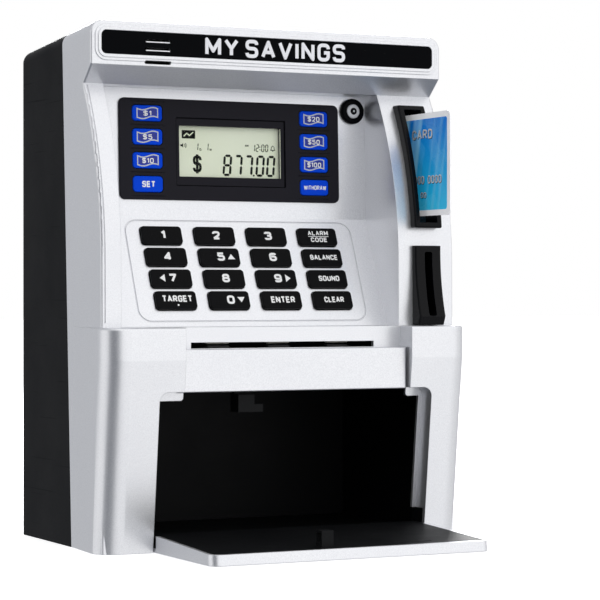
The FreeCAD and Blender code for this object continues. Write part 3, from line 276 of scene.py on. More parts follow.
def rounded(width, height, radius, x=0.0, y=0.0, steps=6):
    """Points round a rectangle with rounded corners, centred on (x, y)."""
    points = []
    for quarter, (sx, sy) in enumerate(((1, 1), (-1, 1), (-1, -1), (1, -1))):
        for i in range(steps + 1):
            a = math.pi / 2 * (quarter + i / steps)
            points.append((x + sx * (width / 2 - radius) + radius * math.cos(a),
                           y + sy * (height / 2 - radius) + radius * math.sin(a)))
    return points


# ---- material graphs --------------------------------------------------------------------
def srgb(red, green, blue, alpha=1.0):
    """A colour given as 0 to 255 screen values, as the linear one that shaders take."""
    parts = [c / 255 for c in (red, green, blue)]
    return [c / 12.92 if c <= 0.04045 else ((c + 0.055) / 1.055) ** 2.4 for c in parts] + [alpha]


class Graph:
    """One material's node graph, with short names for the nodes it is built from."""

    def __init__(self, name):
        self.material = bpy.data.materials.new(name)
        self.material.use_nodes = True
        self.nodes = self.material.node_tree.nodes
        self.links = self.material.node_tree.links
        self.shader = self.nodes["Principled BSDF"]
        self.place = self.add("ShaderNodeTexCoord").outputs["Object"]
        self.geometry = self.add("ShaderNodeNewGeometry")

    def add(self, kind, inputs=None, **settings):
        node = self.nodes.new(kind)
        for key, value in settings.items():
            setattr(node, key, value)
        for key, value in (inputs or {}).items():
            self.feed(node.inputs[key], value)
        return node

    def feed(self, socket, value):
        if isinstance(value, bpy.types.NodeSocket):
            self.links.new(value, socket)
        else:
            socket.default_value = value

    def set(self, **inputs):
        """Feed the main shader; underscores in the names stand for spaces."""
        for key, value in inputs.items():
            self.feed(self.shader.inputs[key.replace("_", " ")], value)

    def math(self, operation, a, b=0.0, clamp=False):
        return self.add("ShaderNodeMath", {0: a, 1: b}, operation=operation, use_clamp=clamp).outputs[0]

    def stretched(self, x=1.0, y=1.0, z=1.0):
        return self.add("ShaderNodeMapping", {"Vector": self.place, "Scale": (x, y, z)}).outputs[0]

    def noise(self, size_mm, detail=2.0, rough=0.5, where=None):
        """Noise whose lumps are about size_mm across."""
        inputs = {"Vector": where or self.place, "Scale": 1 / (size_mm * MM), "Detail": detail,
                  "Roughness": rough}
        return self.add("ShaderNodeTexNoise", inputs).outputs["Fac"]

    def spots(self, size_mm, where=None):
        """Distance to the nearest of many scattered points."""
        inputs = {"Vector": where or self.place, "Scale": 1 / (size_mm * MM)}
        return self.add("ShaderNodeTexVoronoi", inputs).outputs["Distance"]

    def remap(self, value, low, high, to_low=0.0, to_high=1.0):
        return self.add("ShaderNodeMapRange", {"Value": value, "From Min": low, "From Max": high,
                                               "To Min": to_low, "To Max": to_high}).outputs[0]

    def blend(self, share, first, second):
        node = self.add("ShaderNodeMix", data_type="RGBA")
        self.feed(node.inputs[0], share)
        self.feed(node.inputs[6], first)
        self.feed(node.inputs[7], second)
        return node.outputs[2]

    def soft_edges(self, radius_mm):
        """Normals as if sharp edges were rounded, and a mask that is 1 on those edges."""
        rounded_normal = self.add("ShaderNodeBevel", {"Radius": radius_mm * MM}, samples=4).outputs[0]
        straight = self.geometry.outputs["Normal"]
        dot = self.add("ShaderNodeVectorMath", {0: rounded_normal, 1: straight}, operation="DOT_PRODUCT")
        return rounded_normal, self.remap(dot.outputs["Value"], 0.999, 0.90)

    def bump(self, height, depth_mm, normal=None, strength=1.0):
        inputs = {"Height": height, "Distance": depth_mm * MM, "Strength": strength}
        if normal is not None:
            inputs["Normal"] = normal
        return self.add("ShaderNodeBump", inputs).outputs[0]


CARD_GLOW = 0.20          # emission that stands in for light through the thin card


def moulded(name, colour, rough=0.35, worn_and_highlight=None, grain=0.5, depth=0.006, patchy=0.06, edge=0.35,
            metal=0.0, coat=0.0, scratches=0.0, shine=0.5, glow=0.0):
    """Moulded or painted plastic: grain, faint patches, dust, hairline scratches, and lighter edges that are
    partly wear and partly a painted highlight.

    Grain, depth and edge are millimetres, and glow is light that the surface gives off."""
    g = Graph(name)
    normal, on_edge = g.soft_edges(edge)
    patches = g.noise(34.0, 4.0, 0.6)
    fine = g.noise(grain, 2.0, 0.6)
    darker = [c * (1 - patchy) for c in colour[:3]] + [1.0]
    base = g.blend(g.remap(patches, 0.3, 0.7), darker, colour)
    # the edges' lighter colour and its mask stand for wear and also for a painted highlight
    worn_and_highlight = worn_and_highlight or [min(1.0, c * 1.25 + 0.02) for c in colour[:3]] + [1.0]
    wear_and_edge_highlight = g.math("MULTIPLY", on_edge, g.remap(g.noise(6.0, 3.0, 0.7), 0.40, 0.72), True)
    base = g.blend(g.math("MULTIPLY", wear_and_edge_highlight, 0.6), base, worn_and_highlight)
    dust = g.remap(g.spots(2.6), 0.05, 0.02)
    base = g.blend(g.math("MULTIPLY", dust, 0.10), base, srgb(200, 198, 192))
    gloss = g.math("ADD", g.remap(patches, 0.3, 0.7, rough * 0.90, rough * 1.12),
                   g.remap(fine, 0.3, 0.7, -0.03, 0.03))
    gloss = g.math("ADD", gloss, g.math("MULTIPLY", wear_and_edge_highlight, 0.12), True)
    if scratches:
        drawn = g.noise(1.2, 1.0, 0.4, g.stretched(0.02, 0.02, 1.0))
        hair = g.remap(drawn, 0.70, 0.74)
        gloss = g.math("ADD", gloss, g.math("MULTIPLY", hair, scratches), True)
    g.set(Base_Color=base, Roughness=gloss, Metallic=metal, Coat_Weight=coat, Coat_Roughness=0.12,
          Specular_IOR_Level=shine, Normal=g.bump(fine, depth, normal))
    if glow:
        g.set(Emission_Color=base, Emission_Strength=glow)
    return g.material


def silver_plastic():
    """Silver paint on plastic: a fine sparkle of flakes over a spark-eroded grain."""
    g = Graph("silver_paint")
    normal, on_edge = g.soft_edges(0.45)
    flakes = g.noise(0.45, 2.0, 0.7)
    patches = g.noise(55.0, 3.0, 0.55)
    base = g.blend(g.remap(flakes, 0.30, 0.70), srgb(214, 215, 219), srgb(238, 239, 242))
    base = g.blend(g.remap(patches, 0.3, 0.7, 0.0, 0.35), base, srgb(222, 223, 228))
    # edges painted whiter: partly wear, partly a painted highlight
    wear_and_edge_highlight = g.math("MULTIPLY", on_edge, g.remap(g.noise(5.0, 3.0, 0.7), 0.45, 0.70), True)
    base = g.blend(g.math("MULTIPLY", wear_and_edge_highlight, 0.35), base, srgb(250, 250, 252))
    gloss = g.math("ADD", g.remap(patches, 0.3, 0.7, 0.31, 0.35), g.remap(flakes, 0.3, 0.7, -0.03, 0.03))
    g.set(Base_Color=base, Roughness=gloss, Metallic=0.80, Normal=g.bump(flakes, 0.004, normal))
    return g.material


def clear_window():
    """Clear acrylic: see-through, with reflections that grow towards a glancing view."""
    g = Graph("clear_acrylic")
    haze = g.noise(9.0, 3.0, 0.6)
    clear = g.add("ShaderNodeBsdfTransparent", {"Color": (0.98, 0.99, 0.98, 1.0)})
    shine = g.add("ShaderNodeBsdfGlossy", {"Roughness": g.remap(haze, 0.3, 0.7, 0.02, 0.07)})
    glance = g.add("ShaderNodeFresnel", {"IOR": 1.12}).outputs[0]
    mixed = g.add("ShaderNodeMixShader", {0: glance, 1: clear.outputs[0], 2: shine.outputs[0]})
    g.nodes.remove(g.shader)
    g.links.new(mixed.outputs[0], g.nodes["Material Output"].inputs["Surface"])
    return g.material


def lcd_glass():
    """Grey-green reflective display: a faint painted diagonal sheen and fine reflector grain."""
    g = Graph("lcd_glass")
    grain = g.noise(0.18, 2.0, 0.6)
    # painted sheen: paler and darker drifts of the display's colour
    painted_sheen = g.noise(26.0, 2.0, 0.4, g.stretched(1.0, 1.0, 0.6))
    base = g.blend(g.remap(painted_sheen, 0.3, 0.7), srgb(240, 243, 222), srgb(247, 249, 232))
    base = g.blend(g.remap(grain, 0.2, 0.8, 0.0, 0.25), base, srgb(230, 234, 210))
    g.set(Base_Color=base, Roughness=g.remap(grain, 0.3, 0.7, 0.42, 0.52), Normal=g.bump(grain, 0.002))
    return g.material


def lcd_ink(name, colour):
    """A display's dark or pale mark: faintly streaked, with almost no gloss."""
    g = Graph(name)
    streaks = g.noise(0.9, 2.0, 0.5)
    paler = [c * 1.6 + 0.004 for c in colour[:3]] + [1.0]
    g.set(Base_Color=g.blend(g.remap(streaks, 0.35, 0.75), colour, paler), Roughness=0.45,
          Specular_IOR_Level=0.05, Normal=g.bump(streaks, 0.002))
    return g.material


def ink(name, colour, rough=0.45):
    """Printed ink: slightly uneven cover over a fine screen grain."""
    g = Graph(name)
    cover = g.noise(0.35, 3.0, 0.6)
    wear = g.noise(3.5, 4.0, 0.65)
    thin = [c * 0.72 for c in colour[:3]] + [1.0]
    base = g.blend(g.remap(cover, 0.30, 0.75), colour, thin)
    base = g.blend(g.remap(wear, 0.66, 0.80, 0.0, 0.5), base, [c * 0.55 for c in colour[:3]] + [1.0])
    g.set(Base_Color=base, Roughness=g.remap(wear, 0.3, 0.7, rough - 0.06, rough + 0.08),
          Normal=g.bump(cover, 0.004))
    return g.material


def brushed(name, colour, rough=0.3):
    """Plated metal with fine drawn lines."""
    g = Graph(name)
    lines = g.noise(0.25, 3.0, 0.6, g.stretched(0.05, 1.0, 1.0))
    stain = g.noise(7.0, 4.0, 0.6)
    darker = [c * 0.78 for c in colour[:3]] + [1.0]
    g.set(Base_Color=g.blend(g.remap(stain, 0.35, 0.7), darker, colour), Metallic=1.0,
          Roughness=g.remap(lines, 0.3, 0.7, rough - 0.08, rough + 0.10), Normal=g.bump(lines, 0.002))
    return g.material


def circuit_board():
    """Green solder mask over a maze of tracks."""
    g = Graph("circuit_board")
    cells = g.add("ShaderNodeTexVoronoi", {"Vector": g.place, "Scale": 1 / (2.4 * MM)},
                  distance="CHEBYCHEV", feature="F1").outputs["Distance"]
    tracks = g.remap(cells, 0.40, 0.46)
    base = g.blend(tracks, srgb(18, 84, 44), srgb(44, 128, 70))
    base = g.blend(g.remap(g.spots(3.1), 0.12, 0.08), base, srgb(196, 176, 110))
    g.set(Base_Color=base, Roughness=g.remap(g.noise(8.0), 0.3, 0.7, 0.28, 0.4), Normal=g.bump(tracks, 0.03))
    return g.material


def battery_jacket():
    """Plain printed jacket: dark, with a copper-coloured band at the top end."""
    g = Graph("battery_jacket")
    low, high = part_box("batteries")
    height = g.add("ShaderNodeSeparateXYZ", {0: g.place}).outputs["Z"]
    band = g.remap(height, low.z + 0.74 * (high.z - low.z), low.z + 0.745 * (high.z - low.z))
    scuff = g.noise(1.4, 4.0, 0.7)
    base = g.blend(band, srgb(30, 31, 35), srgb(186, 112, 60))
    base = g.blend(g.remap(scuff, 0.66, 0.8, 0.0, 0.4), base, srgb(150, 150, 150))
    g.set(Base_Color=base, Roughness=g.remap(scuff, 0.3, 0.7, 0.22, 0.34), Normal=g.bump(scuff, 0.004))
    return g.material


def card_blue():
    """Printed card face: deep blue at the top to cyan at the bottom, with soft paler streaks."""
    g = Graph("card_blue_print")
    low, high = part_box("play_card")
    parts = g.add("ShaderNodeSeparateXYZ", {0: g.place})
    height = g.remap(parts.outputs["Z"], low.z, high.z)
    base = g.blend(height, srgb(40, 196, 240), srgb(10, 108, 212))
    lean = g.math("ADD", parts.outputs["Y"], g.math("MULTIPLY", parts.outputs["Z"], 0.22))
    along = g.math("MULTIPLY", lean, 1 / (11.0 * MM))
    streaks = g.add("ShaderNodeTexNoise", {"W": along, "Scale": 1.0, "Detail": 1.0},
                    noise_dimensions="1D").outputs["Fac"]
    base = g.blend(g.remap(streaks, 0.50, 0.70, 0.0, 0.60), base, srgb(170, 230, 250))
    land = g.noise(16.0, 2.0, 0.5)
    base = g.blend(g.remap(land, 0.50, 0.52, 0.0, 0.12), base, srgb(120, 205, 238))
    g.set(Base_Color=base, Roughness=g.remap(land, 0.3, 0.7, 0.22, 0.30), Specular_IOR_Level=0.3,
          Normal=g.bump(g.noise(0.6), 0.002), Emission_Color=base, Emission_Strength=CARD_GLOW)
    return g.material


def slot_materials():
    """The finish of every material slot in the record.

    A moulded one is given as colour, roughness, edge colour (partly wear, partly a painted highlight), grain and
    its depth, and patchiness."""
    white = srgb(236, 236, 238)
    return {
        "silver_plastic": silver_plastic(),
        "black_shell": moulded("black_shell", srgb(20, 21, 24), 0.42, srgb(60, 62, 68), 0.6, 0.010, 0.15,
                               scratches=0.10, shine=0.025),
        "black_inner": moulded("black_inner", srgb(13, 14, 16), 0.50, srgb(36, 37, 42), 0.7, 0.012, 0.12,
                               shine=0.12),
        "gloss_black": moulded("gloss_black", srgb(4, 5, 8), 0.14, srgb(40, 42, 46), 1.4, 0.001, 0.05,
                               shine=0.03),
        "black_trim": moulded("black_trim", srgb(10, 10, 13), 0.26, srgb(84, 86, 94), 0.5, 0.004, 0.10,
                              shine=0.12),
        "charcoal_panel": moulded("charcoal_panel", srgb(28, 27, 34), 0.44, srgb(62, 62, 70), 0.45, 0.006,
                                  0.08, shine=0.09),
        "clear_window": clear_window(),
        "lcd_glass": lcd_glass(),
        "white_plastic": moulded("white_plastic", srgb(214, 216, 220), 0.16, white, 0.9, 0.002, 0.05,
                                 coat=0.5),
        "rubber_grey": moulded("rubber_grey", srgb(90, 91, 94), 0.68, None, 0.5, 0.012, 0.12),
        "circuit_board": circuit_board(),
        "speaker_black": moulded("speaker_cone", srgb(34, 33, 33), 0.72, None, 0.4, 0.03, 0.25),
        "bright_steel": brushed("bright_steel", srgb(205, 206, 210)),
        "nylon_white": moulded("nylon_white", srgb(226, 224, 214), 0.42, None, 0.8, 0.004, 0.05),
        "battery_jacket": battery_jacket(),
        "card_print": moulded("card_white", srgb(252, 252, 254), 0.24, None, 1.2, 0.002, 0.03, coat=0.4,
                              glow=CARD_GLOW),
        "key_black": moulded("key_black", srgb(9, 9, 11), 0.32, srgb(60, 62, 70), 0.4, 0.004, 0.10,
                             shine=0.06),
        "key_blue": moulded("key_blue", srgb(0, 68, 216), 0.30, srgb(50, 122, 240), 0.4, 0.003, 0.08,
                            shine=0.05),
    }


def finish_nodes(materials):
    """Give every node of the frame the finish of its material slot."""
    for part in frame["record"]["subparts"]:
        mesh = NODES[part["node"]].data
        mesh.materials.clear()
        mesh.materials.append(materials[part["material_slot"]])


# ---- header -----------------------------------------------------------------------------
HEADER_WORDS = "MY SAVINGS"
HEADER_SHIFT = 0.012           # of the plaque's width, to the right
HEADER_SIZE = (0.80, 0.425)    # height and width of the words, as shares of the plaque's
HEADER_STROKE = 1.85
HEADER_DEPTH = (-0.1, 0.35)    # foot and top of the raised letters, over the plaque
LIP_X = (-70.4, -57.2)         # ends of the lips in the plaque's two slots
LIP_HEIGHTS = (254.9, 250.6)
LIP_WIDE = 0.65
LIP_ROUND = 0.31
LIP_DEPTH = (-0.9, -0.1)


def header_letters(material):
    """Raised silver letters in the middle of the plaque."""
    place, width, height = surface("header_plaque", FRONT)
    d = Drawing()
    d.text(HEADER_WORDS, HEADER_SHIFT * width, 0.0, HEADER_SIZE[0] * height, HEADER_SIZE[1] * width,
           HEADER_STROKE)
    mesh = d.mesh("header_letters", place, *HEADER_DEPTH)
    piece("header_letters", mesh, material, CABINET)


def sound_slot_lips(material):
    """Bright rounded lips along the lower edge of the two slots in the plaque."""
    place, _, _ = surface("header_plaque", FRONT)
    turn = place.to_3x3().to_4x4()
    for number, height in enumerate(LIP_HEIGHTS, 1):
        middle = Matrix.Translation(Vector((sum(LIP_X) / 2 * MM, place.translation.y, height * MM)))
        d = Drawing()
        d.shape(rounded(LIP_X[1] - LIP_X[0], LIP_WIDE, LIP_ROUND))
        name = f"sound_slot_lip_{number}"
        piece(name, d.mesh(name, middle @ turn, *LIP_DEPTH), material, CABINET)


# ---- keypad and display keys ------------------------------------------------------------
ARROW = (4.2, 2.9)             # base and height of the small arrows
DIGIT_LABEL = (4.7, 4.3, 1.2)  # outer height, outer width and stroke of a digit
ONE_WIDTH = 2.5
KEY_WORDS = {                  # the same for each word
    "key_target": ("TARGET", 3.6, 16.8, 0.78),
    "key_enter": ("ENTER", 3.6, 13.8, 0.78),
    "key_clear": ("CLEAR", 3.2, 11.6, 0.70),
    "key_sound": ("SOUND", 3.0, 12.2, 0.68),
    "key_balance": ("BALANCE", 2.9, 16.2, 0.64),
}
LABEL_SHIFT = 0.5              # to the right of the key's middle
TARGET_RISE = 0.6              # this word stands higher, over a dot
TARGET_DOT = (0.6, -2.9, 0.5)  # its place and radius
KEY_ARROWS = {                 # each arrow's place along its key, and its turn
    "key_5": (6.3, 90),
    "key_7": (-5.2, 180),
    "key_9": (6.3, 0),
    "key_0": (6.4, 270),
}
ALARM_LINES = (("ALARM", 1.9, 12.0), ("CODE", -1.9, 9.6))    # with each one's place up the key and width
ALARM_SHIFT = 0.3
ALARM_LETTERS = (2.6, 0.56)    # height and stroke
ALARM_RULE = (-5.7, 6.3)       # ends of the line between the two words
ALARM_RULE_STROKE = 0.32
NOTE_WAVE = (0.62, 0.02, 0.25)             # swing, start and rise of a waving note's edge
NOTE_FIELD = (10.0, 3.3)                   # width and height of the note's dark field
NOTE_EDGE = (11.4, 4.5)                    # and of its outline
NOTE_EDGE_STROKE = 0.62
NOTE_VALUES = {1: 4.4, 5: 5.2, 10: 6.4, 20: 7.0, 50: 7.0, 100: 8.2}    # each value and its width
NOTE_DIGITS = (2.6, 0.5)                   # height and stroke
FIELD_PROUD = 0.03
VALUE_PROUD = 0.09
PLAIN_WORDS = {"key_set": ("SET", 3.2, 7.4, 0.72), "key_withdraw": ("WITHDRAW", 2.3, 13.2, 0.42)}
PLAIN_SHIFT = 0.3


def on_key(kind, node, out, drawing, material, proud=PRINT_PROUD):
    """A drawing on a key's face, which rides on that key's own body."""
    name = f"{kind}_{node}"
    place, _, _ = surface(node, out)
    piece(name, drawing.mesh(name, place, high=proud), material, node + "_body")


def arrow(drawing, x, y, turn):
    """A filled triangle that points along turn, in degrees."""
    a = math.radians(turn)
    along, side = Vector((math.cos(a), math.sin(a))), Vector((-math.sin(a), math.cos(a)))
    base, tall = ARROW
    corners = (along * tall / 2, along * -tall / 2 + side * base / 2, along * -tall / 2 - side * base / 2)
    drawing.shape([(x + c.x, y + c.y) for c in corners])


def keypad_labels(white):
    """White digits, arrows and words on the sixteen keys."""
    high, wide, stroke = DIGIT_LABEL
    words = {f"key_{n}": (str(n), high, ONE_WIDTH if n == 1 else wide, stroke) for n in range(10)}
    words.update(KEY_WORDS)
    for node, (text, height, width, stroke) in words.items():
        d = Drawing()
        d.text(text, LABEL_SHIFT, TARGET_RISE if node == "key_target" else 0.0, height, width, stroke)
        if node in KEY_ARROWS:
            x, turn = KEY_ARROWS[node]
            arrow(d, x, 0.0, turn)
        if node == "key_target":
            d.disc(*TARGET_DOT)
        on_key("label", node, KEYPAD_OUT, d, white)
    d = Drawing()
    height, stroke = ALARM_LETTERS
    for text, y, width in ALARM_LINES:
        d.text(text, ALARM_SHIFT, y, height, width, stroke)
    d.line([(x, 0.0) for x in ALARM_RULE], ALARM_RULE_STROKE)
    on_key("label", "key_alarm", KEYPAD_OUT, d, white)


def wave(u):
    """Height of a waving note's edge, for u from 0 at its left to 1 at its right."""
    swing, start, rise = NOTE_WAVE
    return -swing * math.sin(2 * math.pi * (u - start)) + rise * (u - 0.5)


def note_outline(width, height, steps=14):
    """Points round a note whose long edges wave."""
    along = [i / steps for i in range(steps + 1)]
    top = [((u - 0.5) * width, height / 2 + wave(u)) for u in along]
    bottom = [((u - 0.5) * width, -height / 2 + wave(u)) for u in reversed(along)]
    return top + bottom


def cash_key_labels(grey, white, navy):
    """A waving note with its value on each of six keys, and a plain word on the other two."""
    height, stroke = NOTE_DIGITS
    for value, width in NOTE_VALUES.items():
        node = f"cash_key_{value}"
        field, outline, digits = Drawing(), Drawing(), Drawing()
        field.shape(note_outline(*NOTE_FIELD))
        outline.line(note_outline(*NOTE_EDGE), NOTE_EDGE_STROKE, True)
        digits.text(f"${value}", 0.0, wave(0.5), height, width, stroke)
        on_key("field", node, PANEL_OUT, field, navy, FIELD_PROUD)
        on_key("label", node, PANEL_OUT, outline, grey)
        on_key("value", node, PANEL_OUT, digits, white, proud=VALUE_PROUD)
    for node, (words, height, width, stroke) in PLAIN_WORDS.items():
        d = Drawing()
        d.text(words, PLAIN_SHIFT, 0.0, height, width, stroke)
        on_key("label", node, PANEL_OUT, d, white)


# ---- display ----------------------------------------------------------------------------
# A place on the display is a share of its view's width, from the left, and height, from the top.
SEGMENTS = {"0": "abcdef", "1": "bc", "2": "abged", "7": "abc", "8": "abcdefg"}
BAR_GAP = 0.16                     # at each end of a bar, as a share of its stroke
DISPLAY_SLANT = 0.09
ICON_STROKE = 0.28
GRAPH_ICON = (0.113, 0.155)
GRAPH_FIELD = (7.6, 4.3, 0.3)      # width, height and corner radius
GRAPH_STROKE = 0.62
SOUND_ICON = (0.055, 0.375)
SOUND_WAVES = (0.9, 1.6)           # radii of the two waves
DATE = ((0.19, "D"), (0.29, "M"))
DATE_FOOT = 0.47
DATE_DIGIT = (1.8, 4.0, 0.38)      # width, height and stroke
DATE_DIGIT_BACK = 1.0              # its left edge, to the left of its place
DATE_SIGN = (1.2, 1.0, 0.25)       # height, width and stroke
DATE_SIGN_SHIFT = (2.2, 0.6)       # to the right of that place and up
HALF_DAY = (0.685, 0.345)
HALF_DAY_SIGN = (1.1, 2.0, 0.25)
CLOCK = (0.735, 0.46)
CLOCK_DIGIT = (1.75, 3.9, 0.42)
CLOCK_STEP = 2.25
CLOCK_SPACE = 0.9                  # extra, for the colon
COLON = (4.75, (1.1, 2.5), 0.26)   # place along the clock, heights and radius
BELL_ICON = (0.945, 0.385)
DOLLAR = (0.195, 0.735)
DOLLAR_SIGN = (8.6, 5.0, 1.4)
AMOUNT = (0.44, 0.96)
AMOUNT_DIGIT = (4.9, 11.2, 1.22)
AMOUNT_STEP = 6.15
AMOUNT_SPACE = 0.6                 # extra, for the decimal point
POINT = (-0.3, 0.55, 0.5, 16)      # place from three steps along the foot, radius and number of sides
SHADE_SHIFT = (0.20, -0.22)        # of the marks' soft shade on the reflector behind them
SHADE_DEPTH = (-0.02, 0.015)       # foot and top over the panel, like those below
MARKS_DEPTH = (-0.02, 0.05)
GRAPH_DEPTH = (0.06, 0.09)
GROOVE_SHADE_LINE = (62.4, 34.9, 0.6, 0.1, -0.4)    # painted shade line of the groove round the view: width, height, radius and offset
GROOVE_SHADE_STROKE = 0.5
GROOVE_SHADE_DEPTH = (0.2, 0.36)


def on_view(place, size):
    """A place on the display, in millimetres from the view's middle."""
    return (place[0] - 0.5) * size[0], (0.5 - place[1]) * size[1]


def seven_segment(drawing, digit, x, y, width, height, stroke):
    """One digit with its lower left corner at (x, y), with small gaps between its bars."""
    gap = BAR_GAP * stroke
    left, right = x + stroke / 2, x + width - stroke / 2
    low, mid, high = y + stroke / 2, y + height / 2, y + height - stroke / 2
    ends = {
        "a": ((left, high), (right, high)),
        "b": ((right, mid), (right, high)),
        "c": ((right, low), (right, mid)),
        "d": ((left, low), (right, low)),
        "e": ((left, low), (left, mid)),
        "f": ((left, mid), (left, high)),
        "g": ((left, mid), (right, mid)),
    }
    h = stroke / 2
    for bar in SEGMENTS[digit]:
        (x0, y0), (x1, y1) = ends[bar]
        if y0 == y1:
            x0, x1 = x0 + gap, x1 - gap
            outline = [(x0, y0), (x0 + h, y0 + h), (x1 - h, y0 + h),
                       (x1, y0), (x1 - h, y0 - h), (x0 + h, y0 - h)]
        else:
            y0, y1 = y0 + gap, y1 - gap
            outline = [(x0, y0), (x0 + h, y0 + h), (x0 + h, y1 - h),
                       (x0, y1), (x0 - h, y1 - h), (x0 - h, y0 + h)]
        drawing.shape([(px + (py - y) * DISPLAY_SLANT, py) for px, py in outline])


def sound_icon(d, x, y):
    """A small loudspeaker with two waves."""
    d.shape([(x - 1.2, y - 0.4), (x - 0.5, y - 0.4), (x + 0.3, y - 1.1),
             (x + 0.3, y + 1.1), (x - 0.5, y + 0.4), (x - 1.2, y + 0.4)])
    arc = [math.radians(a) for a in range(-45, 46, 15)]
    for radius in SOUND_WAVES:
        d.line([(x + 0.4 + radius * math.cos(a), y + radius * math.sin(a)) for a in arc], ICON_STROKE)


def bell_icon(d, x, y):
    """A small bell with its clapper."""
    d.line([(x - 1.3, y - 1.0), (x - 0.9, y - 0.5), (x - 0.8, y + 0.6), (x, y + 1.3),
            (x + 0.8, y + 0.6), (x + 0.9, y - 0.5), (x + 1.3, y - 1.0)], ICON_STROKE, True)
    d.disc(x, y - 1.35, 0.3, SMALL_STEPS)


def display_marks(size):
    """All the dark marks that the display shows, with the view's middle at (0, 0)."""
    d = Drawing()
    d.shape(rounded(*GRAPH_FIELD, *on_view(GRAPH_ICON, size)))
    sound_icon(d, *on_view(SOUND_ICON, size))
    for across, sign in DATE:
        x, y = on_view((across, DATE_FOOT), size)
        seven_segment(d, "1", x - DATE_DIGIT_BACK, y, *DATE_DIGIT)
        d.text(sign, x + DATE_SIGN_SHIFT[0], y + DATE_SIGN_SHIFT[1], *DATE_SIGN)
    d.text("AM", *on_view(HALF_DAY, size), *HALF_DAY_SIGN)
    x, y = on_view(CLOCK, size)
    for i, digit in enumerate("1200"):
        seven_segment(d, digit, x + CLOCK_STEP * i + (CLOCK_SPACE if i > 1 else 0.0), y, *CLOCK_DIGIT)
    along, rises, radius = COLON
    for rise in rises:
        d.disc(x + along, y + rise, radius, SMALL_STEPS)
    bell_icon(d, *on_view(BELL_ICON, size))
    d.text("$", *on_view(DOLLAR, size), *DOLLAR_SIGN)
    x, y = on_view(AMOUNT, size)
    for i, digit in enumerate("87700"):
        seven_segment(d, digit, x + AMOUNT_STEP * i + (AMOUNT_SPACE if i > 2 else 0.0), y, *AMOUNT_DIGIT)
    d.disc(x + AMOUNT_STEP * 3 + POINT[0], y + POINT[1], *POINT[2:])
    return d


def graph_line(size):
    """The rising line in the display's dark icon."""
    d = Drawing()
    x, y = on_view(GRAPH_ICON, size)
    d.line([(x - 2.7, y - 1.1), (x - 1.0, y + 0.5), (x + 0.6, y - 0.6), (x + 2.7, y + 1.2)], GRAPH_STROKE)
    return d


def display(black):
    """The display's marks and their shade on its panel, and a dark line on the window round them that paints the
    shade of the frame's groove.
    """
    panel, _, _ = surface("lcd_panel", PANEL_OUT)
    view, *size = surface("lcd_window", PANEL_OUT)
    depth = (view.translation - panel.translation).dot(PANEL_OUT)
    place = Matrix.Translation(-PANEL_OUT * depth) @ view
    shade_place = place @ Matrix.Translation([shift * MM for shift in SHADE_SHIFT] + [0])
    graph = graph_line(size).mesh("display_graph", place, *GRAPH_DEPTH)
    # a dark line painted round the view as the shade in the frame's groove
    line = Drawing()
    line.line(rounded(*GROOVE_SHADE_LINE), GROOVE_SHADE_STROKE, True)
    groove_shade_mesh = line.mesh("display_groove_shade", view, *GROOVE_SHADE_DEPTH)
    shade = display_marks(size).mesh("display_shade", shade_place, *SHADE_DEPTH)
    marks = display_marks(size).mesh("display_marks", place, *MARKS_DEPTH)
    piece("display_graph", graph, lcd_ink("display_pale", srgb(214, 219, 196)), CABINET)
    piece("display_groove_shade", groove_shade_mesh, black, CABINET)
    piece("display_shade", shade, lcd_ink("display_shade", srgb(190, 197, 170)), CABINET)
    piece("display_marks", marks, lcd_ink("display_black", srgb(10, 12, 10)), CABINET)


# ---- toy camera -------------------------------------------------------------------------
# Radius and height of each ring, in millimetres over the lens.
PUPIL = [(0, -0.3), (1.9, -0.3), (1.85, 0.12), (1.3, 0.34), (0.6, 0.44), (0, 0.46)]
GLINT = [(0, 0.2), (0.62, 0.2), (0.55, 0.52), (0.3, 0.58), (0, 0.6)]


def turned(name, profile, place, steps=48):
    """A solid turned about the place's Z axis from (radius, height) points in millimetres."""
    work = bmesh.new()
    rings = []
    for radius, height in profile:
        if radius == 0:
            rings.append([work.verts.new((0, 0, height))])
            continue
        turns = [2 * math.pi * i / steps for i in range(steps)]
        rings.append([work.verts.new((radius * math.cos(a), radius * math.sin(a), height)) for a in turns])
    for low, high in zip(rings, rings[1:]):
        for i, j in zip(range(steps), range(1, steps + 1)):
            corners = [low[i % len(low)], low[j % len(low)], high[j % len(high)], high[i % len(high)]]
            unique = list(dict.fromkeys(corners))
            if len(unique) > 2:
                work.faces.new(unique)
    bmesh.ops.recalc_face_normals(work, faces=list(work.faces))
    for face in work.faces:
        face.smooth = True
    mesh = bpy.data.meshes.new(name)
    work.to_mesh(mesh)
    work.free()
    mesh.transform(place @ Matrix.Scale(MM, 4))
    return mesh


def camera_eye(white, black):
    """A dark domed pupil with a white glint in it."""
    place, _, _ = surface("camera_lens", PANEL_OUT)
    piece("camera_pupil", turned("camera_pupil", PUPIL, place), black, CABINET)
    piece("camera_glint", turned("camera_glint", GLINT, place, 24), white, CABINET)


# ---- play card --------------------------------------------------------------------------
CARD_BORDER = 3.0              # white margin round the card's print
CARD_ROUND = 1.6               # corner radius of the print
CARD_PRINT_DEPTH = (-0.05, 0.03)
CARD_WORDS = {"PLAY": -14.0, "CARD": 14.0}    # and their places from the card's middle
CARD_WORDS_DOWN = 11.0         # below its top edge
CARD_LETTERS = (5.0, 21.0, 0.9)    # outer height, outer width and stroke
CARD_ROWS = (                  # sign, how many, first place, step, height on the card, and their size
    ("0000", 4, -27.0, 18.0, -8.0, (4.2, 14.0, 0.62)),
    ("00", 2, 4.4, 11.0, -16.0, (3.0, 5.6, 0.5)),
)
CARD_SHADE_SHIFT = 0.35        # of the dark shade beside the raised signs
CARD_SHADE_PROUD = 0.05
CARD_SIGNS_PROUD = 0.16


